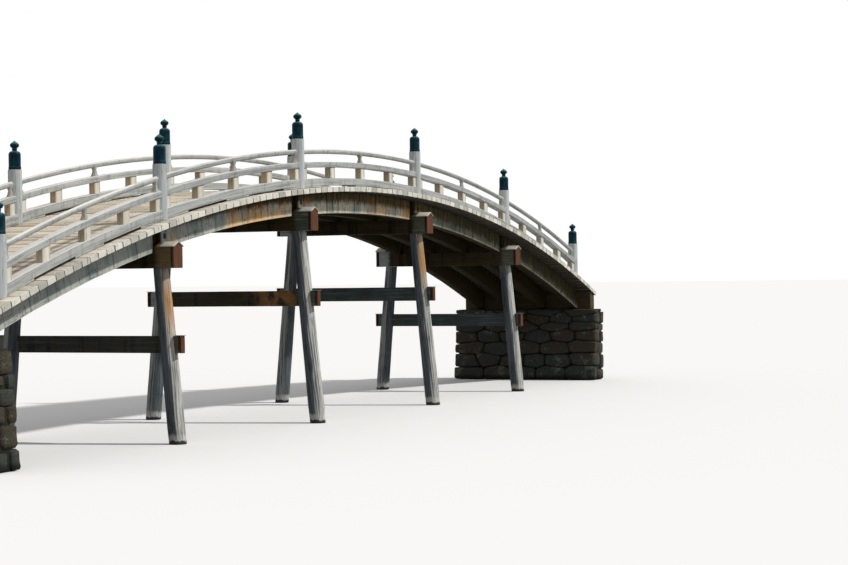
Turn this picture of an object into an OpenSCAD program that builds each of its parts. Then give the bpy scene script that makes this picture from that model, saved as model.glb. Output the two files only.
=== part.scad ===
// Timber moon bridge on four battered piers, with post-and-rail parapets and stone abutments.
// +X runs along the bridge, +Y across it to the back, +Z up. The origin is at the middle, at water level.

/* [Spans] */
// Length of the middle bay, post to post
centre_bay = 5240; // [4200:10:6000]
// Length of the bay on each side of the middle one
side_bay = 4910; // [4200:10:5600]
// Length of each end bay, from the outer pier to the end post
end_bay = 4500; // [3900:10:5200]
// Run of the deck past the end posts
end_run = 820; // [600:10:1200]

/* [Arch] */
// Radius of the curve under the deck boards
arch_r = 37400; // [33000:100:50000]
// Height of the underside of the deck boards at the crown
crown_z = 4405; // [4200:5:5000]

/* [Deck and girders] */
// Width of the deck across the boards
deck_w = 3570; // [3450:10:4200]
// Thickness of the deck boards
board_t = 100; // [60:1:140]
// Depth of the curved girders
girder_h = 415; // [340:5:480]
// Thickness of each girder
girder_t = 200; // [160:5:260]
// Distance from the centre line to the outer face of the outer girders
girder_face_y = 1390; // [1300:5:1450]
// Distance from the centre line to the middle of each inner girder
inner_girder_y = 430; // [350:5:600]
// Depth that the outer girders are cut back where they cross a cap beam
rebate_d = 100; // [40:5:130]

/* [Cap beams] */
// Width of each cap beam along the bridge
beam_w = 270; // [220:5:320]
// Height of each cap beam up to its shoulders
beam_h = 365; // [280:5:420]
// Rise of the ridged top of each cap beam
beam_ridge = 70; // [30:5:100]
// Length of each cap beam across the bridge
beam_len = 3460; // [3300:10:3700]
// Depth that the girders are let into the tops of the cap beams
beam_notch = 83; // [40:1:120]
// Gap between the back of each end beam and the end of the deck
end_beam_inset = 30; // [10:5:100]

/* [Columns] */
// Diameter of each column at the foot
column_d = 310; // [260:5:380]
// Diameter of each column under the cap beam
column_top_d = 270; // [220:5:340]
// Distance from the centre line to each column under the cap beam
column_top_y = 1465; // [1350:5:1550]
// Outward lean of the columns over each metre of height
column_lean = 96; // [0:2:160]

/* [Tie beams] */
// Thickness of each tie beam along the bridge
tie_t = 100; // [70:5:140]
// Height of each tie beam
tie_h = 290; // [200:5:360]
// Drop from the underside of the cap beam to the top of the tie beam
tie_drop = 1130; // [700:10:1400]
// Length of each tie beam past the outside of the columns
tie_past = 60; // [30:5:150]

/* [End boards and covers] */
// Thickness of the boards that shield the beam ends
shield_t = 30; // [20:1:45]
// Gap between a beam end and its board, held by a packing block
shield_gap = 40; // [20:1:80]
// Width by which each board stands past the sides of its beam
shield_lap = 10; // [5:1:30]
// Thickness of the ridged covers on the cap beam ends
cover_t = 18; // [10:1:30]
// Length of those covers, from the outer side of the end board inward
cover_len = 278; // [150:2:320]
// Overhang of the covers past the sides of the cap beams
cover_lap = 22; // [10:1:50]
// Rise of the small ridged covers on the tie beam ends
tie_cover_h = 65; // [40:1:90]

/* [Posts and finials] */
// Diameter of the main posts
post_d = 240; // [200:5:280]
// Height of the main posts above the deck
post_h = 935; // [800:5:1200]
// Distance from the centre line to the posts and rails
post_y = 1464; // [1400:2:1520]
// Diameter of the finial sleeves
sleeve_d = 210; // [180:2:240]
// Height of the finial sleeves
sleeve_h = 262; // [150:2:300]
// Height of the raised band around the foot of each sleeve
band_h = 50; // [20:2:80]
// Distance that the band stands out from the sleeve
band_t = 4; // [2:1:8]
// Height of the rounded shoulder above each sleeve
shoulder_h = 62; // [50:2:100]
// Diameter of the finial necks
neck_d = 86; // [70:2:120]
// Height of the finial necks
neck_h = 42; // [30:2:80]
// Diameter of the onion bulbs
bulb_d = 160; // [120:2:180]
// Height of the widest part of each bulb above the neck
bulb_belly = 58; // [45:1:75]
// Height of the onion bulbs with their points
bulb_h = 142; // [110:1:180]

/* [Rails] */
// Width of the ground sills
sill_w = 200; // [140:5:230]
// Height of the ground sills
sill_h = 145; // [100:1:180]
// Height of the drain slots under the sills
slot_h = 30; // [10:1:45]
// Length of solid sill on each side of a post
slot_from_post = 750; // [400:10:850]
// Length of solid sill on each side of the middle of a bay
slot_from_middle = 400; // [150:10:500]
// Height of the middle of the flat rail above the deck
mid_rail_z = 435; // [380:5:500]
// Height of the flat rail
mid_rail_h = 110; // [70:1:130]
// Width of the flat rail
mid_rail_w = 180; // [140:5:220]
// Height of the middle of the round handrail above the deck
top_rail_z = 688; // [620:1:760]
// Diameter of the round handrail
top_rail_d = 96; // [70:1:110]

/* [Blocks and struts] */
// Length of each short block along the rail
block_x = 210; // [140:5:260]
// Width of each short block and strut across the rail
block_y = 126; // [90:2:150]
// Length of the lower part of each strut along the rail
strut_x = 190; // [140:5:220]
// Distance from a post's middle to the far side of the half strut beside it
half_strut_x = 240; // [200:5:280]
// Width of the flared foot of each upper strut
strut_foot = 124; // [90:2:140]
// Width of the waist of each upper strut
strut_waist = 70; // [40:2:90]
// Width of the cup that holds the handrail
strut_cup = 92; // [72:2:110]
// Depth from the middle of the handrail down to the rim of each cup
cup_drop = 16; // [8:2:30]

/* [Abutments] */
// Width of each abutment across the bridge
abutment_w = 3900; // [3600:10:4400]
// Ledge in front of the end beam at the top of the abutment
abutment_ledge = 200; // [80:10:400]
// Extra depth of the abutment at the foot of its sloping front
abutment_batter = 200; // [0:10:400]
// Depth of the abutment behind the end of the deck
abutment_back = 100; // [20:10:300]

/* [Hidden] */
$fn = 96;
arc_steps = 720;

// Colours of the bare timber, the stained timber and the metal
pale_timber = "#cfcabb";
deck_timber = "#bcae92";
grey_timber = "#7d8078";
brown_timber = "#7a6a50";
red_board = "#7d463c";
pale_cover = "#d8d2c2";
green_bronze = "#1f4a50";
grey_stone = "#74756c";

front = -1;
back = 1;
left = -1;
right = 1;

// Places of the piers, the posts and the ends of the deck along the bridge
inner_x = centre_bay / 2;
outer_x = inner_x + side_bay;
end_x = outer_x + end_bay;
deck_end_x = end_x + end_run;
pier_x = [-outer_x, -inner_x, inner_x, outer_x];
post_x = [-end_x, -outer_x, -inner_x, inner_x, outer_x, end_x];
bay_x = [-deck_end_x, -outer_x, -inner_x, inner_x, outer_x, deck_end_x];
bays = [1 : 5];
piers = [1 : 4];

// Radii of the arch's layers, all about one centre under the crown
centre_z = crown_z - arch_r;
girder_r = arch_r - girder_h;
deck_r = arch_r + board_t;
sill_r = deck_r + slot_h + sill_h;
mid_rail_r = deck_r + mid_rail_z;
mid_under_r = mid_rail_r - mid_rail_h / 2;
mid_top_r = mid_rail_r + mid_rail_h / 2;
top_rail_r = deck_r + top_rail_z;

end_beam_rear_x = deck_end_x - end_beam_inset;
end_beam_face_x = end_beam_rear_x - beam_w;
end_beam_z = layer_z(girder_r, end_beam_face_x);
lean_angle = atan(column_lean / 1000);
tie_end_y = column_top_y + column_lean / 1000 * (tie_drop + tie_h / 2) + column_d / 2 + tie_past;
beam_end_y = beam_len / 2;
past = 200;
end_cover = 1;
socket_floor = post_d * 0.35;
socket_gap = 0.5;
point_angle = 45;
bulb_crown = (bulb_h - bulb_belly) * 0.66;

// Height of the layer with radius r at x along the bridge
function layer_z(r, x) = centre_z + sqrt(r * r - x * x);
function cap_beam_z(x) = layer_z(girder_r, x) + beam_notch - beam_h;
function tie_z(x) = cap_beam_z(x) - tie_drop - tie_h;

// Curved bar between two radii and two widths. Its ends are square to the curve, and lie over
// x0 and x1 at the radius end_r, or at its middle where none is given.
module arc_bar(r0, r1, y0, y1, x0, x1, end_r = 0) {
  at_r = end_r > 0 ? end_r : (r0 + r1) / 2;
  from = acos(x1 / at_r);
  to = acos(x0 / at_r);
  translate([0, 0, centre_z])
    rotate([90, 0, 0])
      rotate([0, 0, from])
        rotate_extrude(angle = to - from, $fn = arc_steps)
          translate([r0, -y1])
            square([r1 - r0, y1 - y0]);
}

// Round bar that follows the arch at radius r between two angles from the level
module arc_rod(r, y, d, from, to) {
  translate([0, 0, centre_z])
    rotate([90, 0, 0])
      rotate([0, 0, from])
        rotate_extrude(angle = to - from, $fn = arc_steps)
          translate([r, -y])
            circle(d = d, $fn = 48);
}

// Five-sided section of a beam with a ridged top
module ridged_section(w, h, ridge, lap = 0) {
  drop = lap * ridge / (w / 2);
  polygon([
    [-w / 2 - lap, 0],
    [w / 2 + lap, 0],
    [w / 2 + lap, h - drop],
    [0, h + ridge],
    [-w / 2 - lap, h - drop]
  ]);
}

// Section drawn along the bridge, carried across it from y0 to y1
module across(y0, y1) {
  translate([0, y1, 0])
    rotate([90, 0, 0])
      linear_extrude(y1 - y0)
        children();
}

// Piers
module cap_beam_solid(x) {
  translate([x, 0, cap_beam_z(x)])
    across(-beam_end_y, beam_end_y)
      ridged_section(beam_w, beam_h, beam_ridge);
}

module tie_solid(x) {
  translate([x - tie_t / 2, -tie_end_y, tie_z(x)])
    cube([tie_t, 2 * tie_end_y, tie_h]);
}

module column(x, side) {
  top_z = cap_beam_z(x);
  long = top_z / cos(lean_angle);
  intersection() {
    translate([x, side * column_top_y, top_z])
      rotate([side * lean_angle, 0, 0])
        translate([0, 0, -long - past])
          cylinder(h = long + 2 * past, d1 = column_d, d2 = column_top_d);
    translate([x - column_d, side * column_top_y - 4 * column_d, 0])
      cube([2 * column_d, 8 * column_d, top_z]);
  }
}

module pier_columns(i) {
  x = pier_x[i - 1];
  color(grey_timber)
    difference() {
      for (side = [front, back])
        column(x, side);
      tie_solid(x);
    }
}

// Cap beam with a curved housing for each girder. The outer girders are let in by their inner part only.
module pier_cap_beam(i) {
  x = pier_x[i - 1];
  inner = [inner_girder_y - girder_t / 2, inner_girder_y + girder_t / 2];
  outer = [girder_face_y - girder_t, girder_face_y - rebate_d];
  color(grey_timber)
    difference() {
      cap_beam_solid(x);
      for (y = [inner, outer])
        for (side = [0, 1])
          mirror([0, side, 0])
            arc_bar(girder_r, arch_r, y[0], y[1], x - beam_w, x + beam_w);
    }
}

module pier_tie_beam(i) {
  color(grey_timber)
    tie_solid(pier_x[i - 1]);
}

// Boards and covers on the ends of the beams, mirrored to both sides of every pier
module at_beam_ends() {
  for (x = pier_x)
    for (side = [0, 1])
      translate([x, 0, 0])
        mirror([0, side, 0])
          translate([0, 0, cap_beam_z(x)])
            children();
}

module cap_beam_end_boards() {
  board_y = beam_end_y + shield_gap;
  packing_w = beam_w * 0.55;
  color(red_board)
    at_beam_ends() {
      across(board_y, board_y + shield_t)
        ridged_section(beam_w, beam_h, beam_ridge, shield_lap);
      translate([-packing_w / 2, beam_end_y, beam_h * 0.2])
        cube([packing_w, shield_gap, beam_h * 0.6]);
    }
}

module cap_beam_end_covers() {
  slope = beam_ridge / (beam_w / 2);
  half = beam_w / 2 + cover_lap;
  eave_z = beam_h + beam_ridge - slope * half;
  cover_end_y = beam_end_y + shield_gap + shield_t + cover_t;
  color(pale_cover)
    at_beam_ends()
      across(cover_end_y - cover_len, cover_end_y)
        polygon([
          [-half, eave_z],
          [0, beam_h + beam_ridge],
          [half, eave_z],
          [half, eave_z + cover_t],
          [0, beam_h + beam_ridge + cover_t],
          [-half, eave_z + cover_t]
        ]);
}

module tie_beam_end_boards() {
  board_w = tie_t + 2 * shield_lap;
  packing_w = tie_t * 0.6;
  color(red_board)
    at_beam_ends()
      translate([0, tie_end_y, -tie_drop - tie_h]) {
        translate([-board_w / 2, shield_gap, 0])
          cube([board_w, shield_t, tie_h]);
        translate([-packing_w / 2, 0, tie_h * 0.2])
          cube([packing_w, shield_gap, tie_h * 0.6]);
      }
}

module tie_beam_end_covers() {
  half = tie_t / 2 + cover_lap;
  color(pale_cover)
    at_beam_ends()
      translate([0, 0, -tie_drop])
        across(tie_end_y - tie_past, tie_end_y + shield_gap + shield_t + cover_t)
          polygon([[-half, 0], [half, 0], [0, tie_cover_h]]);
}

// Four girders of one bay. The outer two are cut back where the cap beams pass outside them.
module bay_girders(i) {
  x0 = max(bay_x[i - 1], -end_beam_face_x);
  x1 = min(bay_x[i], end_beam_face_x);
  outer_y = girder_face_y - girder_t / 2;
  color(brown_timber)
    difference() {
      for (y = [-outer_y, -inner_girder_y, inner_girder_y, outer_y])
        arc_bar(girder_r, arch_r, y - girder_t / 2, y + girder_t / 2, x0, x1, girder_r);
      for (x = pier_x)
        for (side = [0, 1])
          mirror([0, side, 0])
            translate([x - beam_w / 2, girder_face_y - rebate_d, cap_beam_z(x)])
              cube([beam_w, 2 * rebate_d, girder_h * 3]);
      for (side = [left, right])
        translate([side * (end_beam_face_x + beam_w), 0, end_beam_z])
          cube([2 * beam_w, deck_w, 4 * girder_h], center = true);
    }
}

// Deck boards of one bay as a curved slab
module bay_deck(i) {
  color(deck_timber)
    arc_bar(arch_r, deck_r, -deck_w / 2, deck_w / 2, bay_x[i - 1], bay_x[i]);
}

// Beams that carry the ends of the deck on the abutments, their tops sawn to the slope of the boards
module end_beams() {
  color(brown_timber)
    for (side = [left, right])
      across(-beam_end_y, beam_end_y)
        polygon([
          [side * end_beam_face_x, end_beam_z],
          [side * end_beam_rear_x, end_beam_z],
          [side * end_beam_rear_x, layer_z(arch_r, end_beam_rear_x)],
          [side * end_beam_face_x, layer_z(arch_r, end_beam_face_x)]
        ]);
}

module abutment(side) {
  foot_x = end_beam_face_x - abutment_ledge - abutment_batter;
  top_x = end_beam_face_x - abutment_ledge;
  rear_x = deck_end_x + abutment_back;
  color(grey_stone)
    across(-abutment_w / 2, abutment_w / 2)
      polygon([
        [side * foot_x, 0],
        [side * rear_x, 0],
        [side * rear_x, end_beam_z],
        [side * top_x, end_beam_z]
      ]);
}

module left_abutment() {
  abutment(left);
}

module right_abutment() {
  abutment(right);
}

// Posts and finials
module post_shaft(x, side) {
  deck_z = layer_z(deck_r, x);
  translate([x, side * post_y, deck_z - past])
    rotate([0, 0, side * 90])
      cylinder(h = post_h + past, d = post_d);
}

// Round sockets that take the ends of the handrails, leaning with the arch at x
module handrail_sockets(x, side) {
  lean = asin(x / top_rail_r);
  for (way = [left, right])
    if (abs(x + way * post_d) < end_x)
      translate([x, side * post_y, layer_z(top_rail_r, x)])
        rotate([0, lean + way * 90, 0])
          translate([0, 0, socket_floor])
            cylinder(h = post_d, d = top_rail_d + 2 * socket_gap, $fn = 48);
}

module posts(side) {
  color(pale_timber)
    difference() {
      for (x = post_x)
        post_shaft(x, side);
      for (x = post_x)
        handrail_sockets(x, side);
      arc_bar(girder_r - past, deck_r, -deck_w, deck_w, -deck_end_x, deck_end_x);
    }
}

// Outline of the bulb: an ellipse below the belly, another above it up to the slope where the point
// begins, then a hollow curve that runs out along the axis. The curve leaves the ellipse on its tangent.
function bulb_body(a) =
  [bulb_d / 2 * cos(a), bulb_belly + (a < 0 ? bulb_belly : bulb_crown) * sin(a)];
function bulb_point(t, from, z1) =
  [from[0] * pow(1 - t, 2), from[1] * pow(1 - t, 2) + 2 * t * (1 - t) * z1 + bulb_h * t * t];

module finial() {
  sleeve_r = sleeve_d / 2;
  neck_r = neck_d / 2;
  neck_z = sleeve_h + shoulder_h;
  lip_r = neck_h * 0.16;
  lip_z = neck_z + neck_h - lip_r;
  bulb_z = neck_z + neck_h;
  from = bulb_body(point_angle);
  meet_z = from[1] + bulb_crown * pow(cos(point_angle), 2) / sin(point_angle);
  rotate_extrude()
    polygon(concat(
      [[0, 0], [sleeve_r + band_t, 0], [sleeve_r + band_t, band_h], [sleeve_r, band_h]],
      [for (a = [0 : 15 : 90])
        [neck_r + (sleeve_r - neck_r) * cos(a), sleeve_h + shoulder_h * sin(a)]],
      [for (a = [-60 : 60 : 60]) [neck_r + lip_r * cos(a), lip_z + lip_r * sin(a)]],
      [for (a = [-60 : 15 : point_angle]) [0, bulb_z] + bulb_body(a)],
      [for (t = [0.25 : 0.25 : 1]) [0, bulb_z] + bulb_point(t, from, meet_z)]
    ));
}

module finials(side) {
  color(green_bronze)
    for (x = post_x)
      translate([x, side * post_y, layer_z(deck_r, x) + post_h])
        finial();
}

// Rails, each bay in one length that is scribed to the round posts at its two ends.
// A rail of width w starts just inside a post, and further in where its square end leans away.
function rail_start(x, w, high) =
  x + sqrt(post_d * post_d - w * w) / 2 - end_cover - (x > 0 ? high * end_x / arch_r : 0);

function rail_from(i, w, high) = rail_start(post_x[i - 1], w, high);
function rail_to(i, w, high) = -rail_start(-post_x[i], w, high);

module between_posts(i, side) {
  difference() {
    children();
    post_shaft(post_x[i - 1], side);
    post_shaft(post_x[i], side);
  }
}

module flat_bar(i, side, r0, r1, w) {
  arc_bar(r0, r1, side * post_y - w / 2, side * post_y + w / 2,
          rail_from(i, w, r1 - r0), rail_to(i, w, r1 - r0), r0);
}

module sill(i, side) {
  x0 = post_x[i - 1];
  x1 = post_x[i];
  middle = (x0 + x1) / 2;
  between_posts(i, side)
    difference() {
      flat_bar(i, side, deck_r, sill_r, sill_w);
      for (slot = [[x0 + slot_from_post, middle - slot_from_middle],
                   [middle + slot_from_middle, x1 - slot_from_post]])
        arc_bar(deck_r - slot_h, deck_r + slot_h, side * post_y - sill_w, side * post_y + sill_w,
                slot[0], slot[1]);
    }
}

module flat_rail(i, side) {
  between_posts(i, side)
    flat_bar(i, side, mid_under_r, mid_top_r, mid_rail_w);
}

module handrail(i, side) {
  reach = (socket_floor + socket_gap) / top_rail_r * 180 / PI;
  arc_rod(top_rail_r, side * post_y, top_rail_d,
          acos(post_x[i] / top_rail_r) + reach, acos(post_x[i - 1] / top_rail_r) - reach);
}

module sills(side) {
  color(pale_timber)
    for (i = bays)
      sill(i, side);
}

module flat_rails(side) {
  color(pale_timber)
    for (i = bays)
      flat_rail(i, side);
}

module handrails(side) {
  color(pale_timber)
    for (i = bays)
      handrail(i, side);
}

// Upright block from the sill to the flat rail
module rail_block(x, side, long) {
  low_z = layer_z(deck_r, x);
  intersection() {
    translate([x - long / 2, side * post_y - block_y / 2, low_z - past])
      cube([long, block_y, mid_rail_z + 2 * past]);
    arc_bar(sill_r, mid_under_r, side * post_y - block_y, side * post_y + block_y,
            x - 0.8 * long, x + 0.8 * long);
  }
}

module rail_blocks(side) {
  color(pale_timber)
    for (i = bays)
      for (share = [0.25, 0.75])
        rail_block(post_x[i - 1] + share * (post_x[i] - post_x[i - 1]), side, block_x);
}

// Half width of an upper strut at the share t of its height: flared foot, waist, then the cup
function strut_half(t) =
  t < 0.6
    ? strut_waist / 2 + (strut_foot - strut_waist) / 2 * pow(1 - t / 0.6, 2)
    : strut_waist / 2 + (strut_cup - strut_waist) / 2 * sin(min(90, (t - 0.6) * 600));

module strut_outline(high) {
  steps = [0 : 0.1 : 1];
  polygon(concat(
    [[strut_half(0), -past / 4]],
    [for (t = steps) [strut_half(t), t * high]],
    [for (t = steps) [-strut_half(1 - t), (1 - t) * high]],
    [[-strut_half(0), -past / 4]]
  ));
}

// Waisted upper strut between the flat rail and the handrail
module upper_strut(x, side) {
  foot_z = layer_z(mid_top_r, x);
  high = layer_z(top_rail_r, x) - foot_z;
  difference() {
    intersection() {
      translate([x, side * post_y, foot_z])
        across(-strut_foot, strut_foot)
          strut_outline(high);
      translate([x, side * post_y, foot_z])
        rotate([0, 0, 90])
          across(-strut_foot, strut_foot)
            strut_outline(high);
      arc_bar(mid_top_r, top_rail_r - cup_drop, side * post_y - strut_foot, side * post_y + strut_foot,
              x - strut_foot, x + strut_foot);
    }
    arc_rod(top_rail_r, side * post_y, top_rail_d,
            acos((x + mid_rail_w) / top_rail_r), acos((x - mid_rail_w) / top_rail_r));
  }
}

// Strut at the middle of a bay, and half struts against the posts at its two ends
module bay_struts(i, side) {
  x0 = post_x[i - 1];
  x1 = post_x[i];
  middle = (x0 + x1) / 2;
  reach = half_strut_x - strut_x / 2;
  rail_block(middle, side, strut_x);
  upper_strut(middle, side);
  difference() {
    for (x = [x0 + reach, x1 - reach]) {
      rail_block(x, side, strut_x);
      upper_strut(x, side);
    }
    post_shaft(x0, side);
    post_shaft(x1, side);
  }
}

module rail_struts(side) {
  color(pale_timber)
    for (i = bays)
      bay_struts(i, side);
}

for (i = piers) pier_columns(i);
for (i = piers) pier_cap_beam(i);
for (i = piers) pier_tie_beam(i);
cap_beam_end_boards();
cap_beam_end_covers();
tie_beam_end_boards();
tie_beam_end_covers();
for (i = bays) bay_girders(i);
for (i = bays) bay_deck(i);
end_beams();
left_abutment();
right_abutment();
posts(front);  // front_posts
posts(back);  // back_posts
finials(front);  // front_finials
finials(back);  // back_finials
sills(front);  // front_sills
sills(back);  // back_sills
flat_rails(front);  // front_flat_rails
flat_rails(back);  // back_flat_rails
handrails(front);  // front_handrails
handrails(back);  // back_handrails
rail_blocks(front);  // front_rail_blocks
rail_blocks(back);  // back_rail_blocks
rail_struts(front);  // front_rail_struts
rail_struts(back);  // back_rail_struts
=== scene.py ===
import bpy
import math
import numpy as np
from mathutils import Matrix, Vector


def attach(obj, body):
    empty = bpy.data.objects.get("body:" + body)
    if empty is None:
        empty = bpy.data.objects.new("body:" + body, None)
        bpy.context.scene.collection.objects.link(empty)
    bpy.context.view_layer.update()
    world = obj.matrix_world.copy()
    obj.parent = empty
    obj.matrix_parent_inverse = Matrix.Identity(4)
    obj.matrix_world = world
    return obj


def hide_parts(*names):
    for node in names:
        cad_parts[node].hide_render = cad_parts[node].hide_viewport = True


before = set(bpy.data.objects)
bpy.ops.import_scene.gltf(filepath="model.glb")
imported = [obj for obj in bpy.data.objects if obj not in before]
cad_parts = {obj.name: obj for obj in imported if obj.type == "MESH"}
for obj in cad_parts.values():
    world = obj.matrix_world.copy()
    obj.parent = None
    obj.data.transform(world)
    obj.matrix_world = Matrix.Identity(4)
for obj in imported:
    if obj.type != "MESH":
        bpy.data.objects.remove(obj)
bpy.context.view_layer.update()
print("stage: frame loaded")

# Main sizes of the bridge in metres, the same as in the solids. R is a radius, D a diameter, H a height,
# W a width and T a thickness. X runs along the bridge, Y across it and Z up.
size = {
    "soffitR": 37.400, "crownZ": 4.405,             # curve under the deck boards
    "boards": 109, "boardT": 0.100, "deckHalf": 1.785, "deckEndX": 12.850,
    "girderH": 0.415, "girderT": 0.200, "girderFaceY": 1.390, "innerGirderY": 0.430, "rebate": 0.100,
    "endBeamX": 12.550,                             # inner face of the end beam
    "innerX": 2.620, "outerX": 7.530, "endX": 12.030,
    "postY": 1.464, "postD": 0.240, "postH": 0.935,
    "slotH": 0.030, "sillH": 0.145, "sillW": 0.200,
    "flatZ": 0.435, "flatH": 0.110, "flatW": 0.180, "topZ": 0.688, "topD": 0.096,   # middles over the deck
    "beamW": 0.270, "beamH": 0.365, "beamRidge": 0.070, "beamNotch": 0.083, "beamHalf": 1.730,
    "tieT": 0.100, "tieH": 0.290, "tieDrop": 1.130, "tiePast": 0.060,
    "lean": 0.096, "columnY": 1.465, "columnTopR": 0.135, "columnFootR": 0.155,
}
centreZ = size["crownZ"] - size["soffitR"]
deckR = size["soffitR"] + size["boardT"]
boardAngle = 2 * math.asin(size["deckEndX"] / (deckR - size["boardT"] / 2)) / size["boards"]
girderR = size["soffitR"] - size["girderH"]
girderMidR = (girderR + size["soffitR"]) / 2
sillTopR = deckR + size["slotH"] + size["sillH"]
flatLowR = deckR + size["flatZ"] - size["flatH"] / 2
flatTopR = deckR + size["flatZ"] + size["flatH"] / 2
topRailR = deckR + size["topZ"]
pierX = [-size["outerX"], -size["innerX"], size["innerX"], size["outerX"]]
postX = [-size["endX"]] + pierX + [size["endX"]]
sides = ((-1, "front"), (1, "back"))
tieEndY = (size["columnY"] + size["lean"] * (size["tieDrop"] + size["tieH"] / 2)
           + size["columnFootR"] + size["tiePast"])


# Height of the layer of radius r at x: all layers are arcs about one centre under the crown.
def layerZ(r, x):
    return centreZ + np.sqrt(r * r - np.square(x))


def capBeamZ(x):
    return float(layerZ(girderR, x)) + size["beamNotch"] - size["beamH"]


# Length of the arc of radius r0 up to the place where the arc of radius r stands at x.
def arcAt(r0, r, x):
    return r0 * np.arcsin(x / r)


# Smooth random values between -1 and 1 on a lattice of unit cells, blended with a cubic ease. Each
# corner's value is its whole coordinates and the seed multiplied by large odd numbers and mixed.
def latticeNoise(p, seed):
    cell = np.floor(p).astype(np.int64)
    f = p - cell
    f = f * f * (3 - 2 * f)
    total = 0
    for corner in np.ndindex(2, 2, 2):
        c = cell + np.array(corner)
        n = c[..., 0] * 374761393 + c[..., 1] * 668265263 + c[..., 2] * 1440662683 + seed * 974634777
        n = (n ^ (n >> 13)) * 1274126177
        weight = np.prod(np.where(np.array(corner) == 1, f, 1 - f), axis=-1)
        total = total + weight * (((n ^ (n >> 16)) & 65535) / 32767.5 - 1)
    return total


def newSeed(rng):
    return int(rng.integers(1, 9999))


def ease(v):
    v = np.clip(v, 0, 1)
    return v * v * (3 - 2 * v)


# Sections hold points a, b round a bar, their outward normals, how much each is a corner, and the
# number of the drying crack that it is the bottom of, or -1. Sides run +a, +b, -a, -b.
def rectSection(w, h, radius, splits=(4, 4), cracks=(), rows=None, cornerN=2):
    points, half = [], np.array([w / 2, h / 2])
    for side in range(4):
        turn = side * math.pi / 2
        out = np.array([round(math.cos(turn)), round(math.sin(turn))])
        along = np.array([-out[1], out[0]])
        length = 2 * abs(along @ half) - 2 * radius
        marks = [(k / splits[side % 2], -1) for k in range(splits[side % 2] + 1)]
        if rows is not None and side in rows:
            own = [0.5 + along.sum() * b / length for b in rows[side]]
            marks = [m for m in marks if m[0] in (0, 1) or min(abs(m[0] - v) for v in own) > 0.02]
            marks += [(v, -1) for v in own]
        for number, (where, share, width) in enumerate(cracks):
            if where == side:
                marks += [(share - width / length, -1), (share, number), (share + width / length, -1)]
        for share, number in sorted(marks):
            p = out * abs(out @ half) + along * (share - 0.5) * length
            points.append((*p, *out, 1.0 if share in (0, 1) else 0.0, number))
        centre = out * (abs(out @ half) - radius) + along * length / 2
        for k in range(1, cornerN):
            t = turn + k * math.pi / 2 / cornerN
            n = np.array([math.cos(t), math.sin(t)])
            points.append((*(centre + n * radius), *n, 1.0, -1))
    return asSection(points)


def roundSection(r, count, cracks=()):
    angles = [(k * 2 * math.pi / count, -1) for k in range(count)]
    for number, (angle, width) in enumerate(cracks):
        angles = [m for m in angles if abs((m[0] - angle + math.pi) % (2 * math.pi) - math.pi) > 1.3 * width]
        angles += [((angle + k * width) % (2 * math.pi), number if k == 0 else -1) for k in (-1, 0, 1)]
    return asSection([(r * math.cos(t), r * math.sin(t), math.cos(t), math.sin(t), 0.0, number)
                      for t, number in sorted(angles)])


def asSection(points):
    names = ("a", "b", "na", "nb", "corner", "crack")
    return dict(zip(names, np.array(points, float).T))


def someCracks(rng, count, faces, width=0.003):
    return [(int(rng.choice(faces)), float(rng.uniform(0.12, 0.88)), width) for _ in range(count)]


# Drying checks at uneven angles round a log.
def someChecks(rng, look):
    spots = (np.arange(look["checks"]) + rng.uniform(0.1, 0.9, look["checks"])) * 2 * math.pi / look["checks"]
    return [(float(p), look["checkWidth"]) for p in spots]


barForm = {"stations": 12, "wear": 0.003, "rough": 0.001, "crackDepth": 0.010, "bevel": 0.004, "fall": None}


# One closed bar. Its section is carried along s from start to end and drawn inward along its normals by
# edge wear, roughness and drying cracks. Where the ends are not square, their offsets fade over "fall".
# Extra rings stand at the given lines.
def bar(section, place, start, end, rng, form, radius=None, fit=None, lines=()):
    form = {**barForm, **form}
    count = len(section["a"])
    start = np.broadcast_to(np.asarray(start, float), (count,))
    end = np.broadcast_to(np.asarray(end, float), (count,))
    s0, s1 = start.mean(), end.mean()
    span = s1 - s0
    edge = min(0.2, 1.2 * form["bevel"] / abs(span))
    t = np.concatenate([[0.0], np.linspace(edge, 1 - edge, form["stations"]), [1.0]])
    if len(lines):
        own = (np.asarray(lines) - s0) / span
        near = np.abs(t[:, None] - own).min(1) * abs(span) < 0.012
        t = np.sort(np.concatenate([t[~near], own]))
    fall = form["fall"] or abs(span)
    fade0 = np.clip(1 - t * abs(span) / fall, 0, 1)[:, None]
    fade1 = np.clip(1 - (1 - t) * abs(span) / fall, 0, 1)[:, None]
    s = s0 + span * t[:, None] + (start - s0) * fade0 + (end - s1) * fade1
    swell = np.ones((len(t), 1)) if radius is None else radius(t)[:, None]
    a0, b0 = swell * section["a"], swell * section["b"]
    seed = newSeed(rng)
    wearAt = latticeNoise(np.stack([s * 2.3, np.sign(a0) * 2 + 0 * s, np.sign(b0) * 2 + 0 * s], -1), seed)
    roughAt = latticeNoise(np.stack([s * 4, a0 * 26, b0 * 26], -1), seed + 1)
    inward = form["wear"] * section["corner"] * (0.5 + 0.5 * wearAt) + form["rough"] * (0.5 + 0.5 * roughAt)
    for number in range(int(section["crack"].max()) + 1):
        low, high = sorted(rng.uniform(-0.3, 1.3, 2))
        high = max(high, low + 0.3)
        window = ease((t - low) / 0.12) * ease((high - t) / 0.12) * form["crackDepth"] * rng.uniform(0.5, 1)
        inward = inward + (section["crack"] == number) * window[:, None]
    inward[[0, -1]] += form["bevel"]
    a = a0 - section["na"] * inward
    b = b0 - section["nb"] * inward
    if fit is not None:
        s, a, b = fit(s, a, b)
    return closeRings(np.stack([s, a, b], -1), place, rng)


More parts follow.
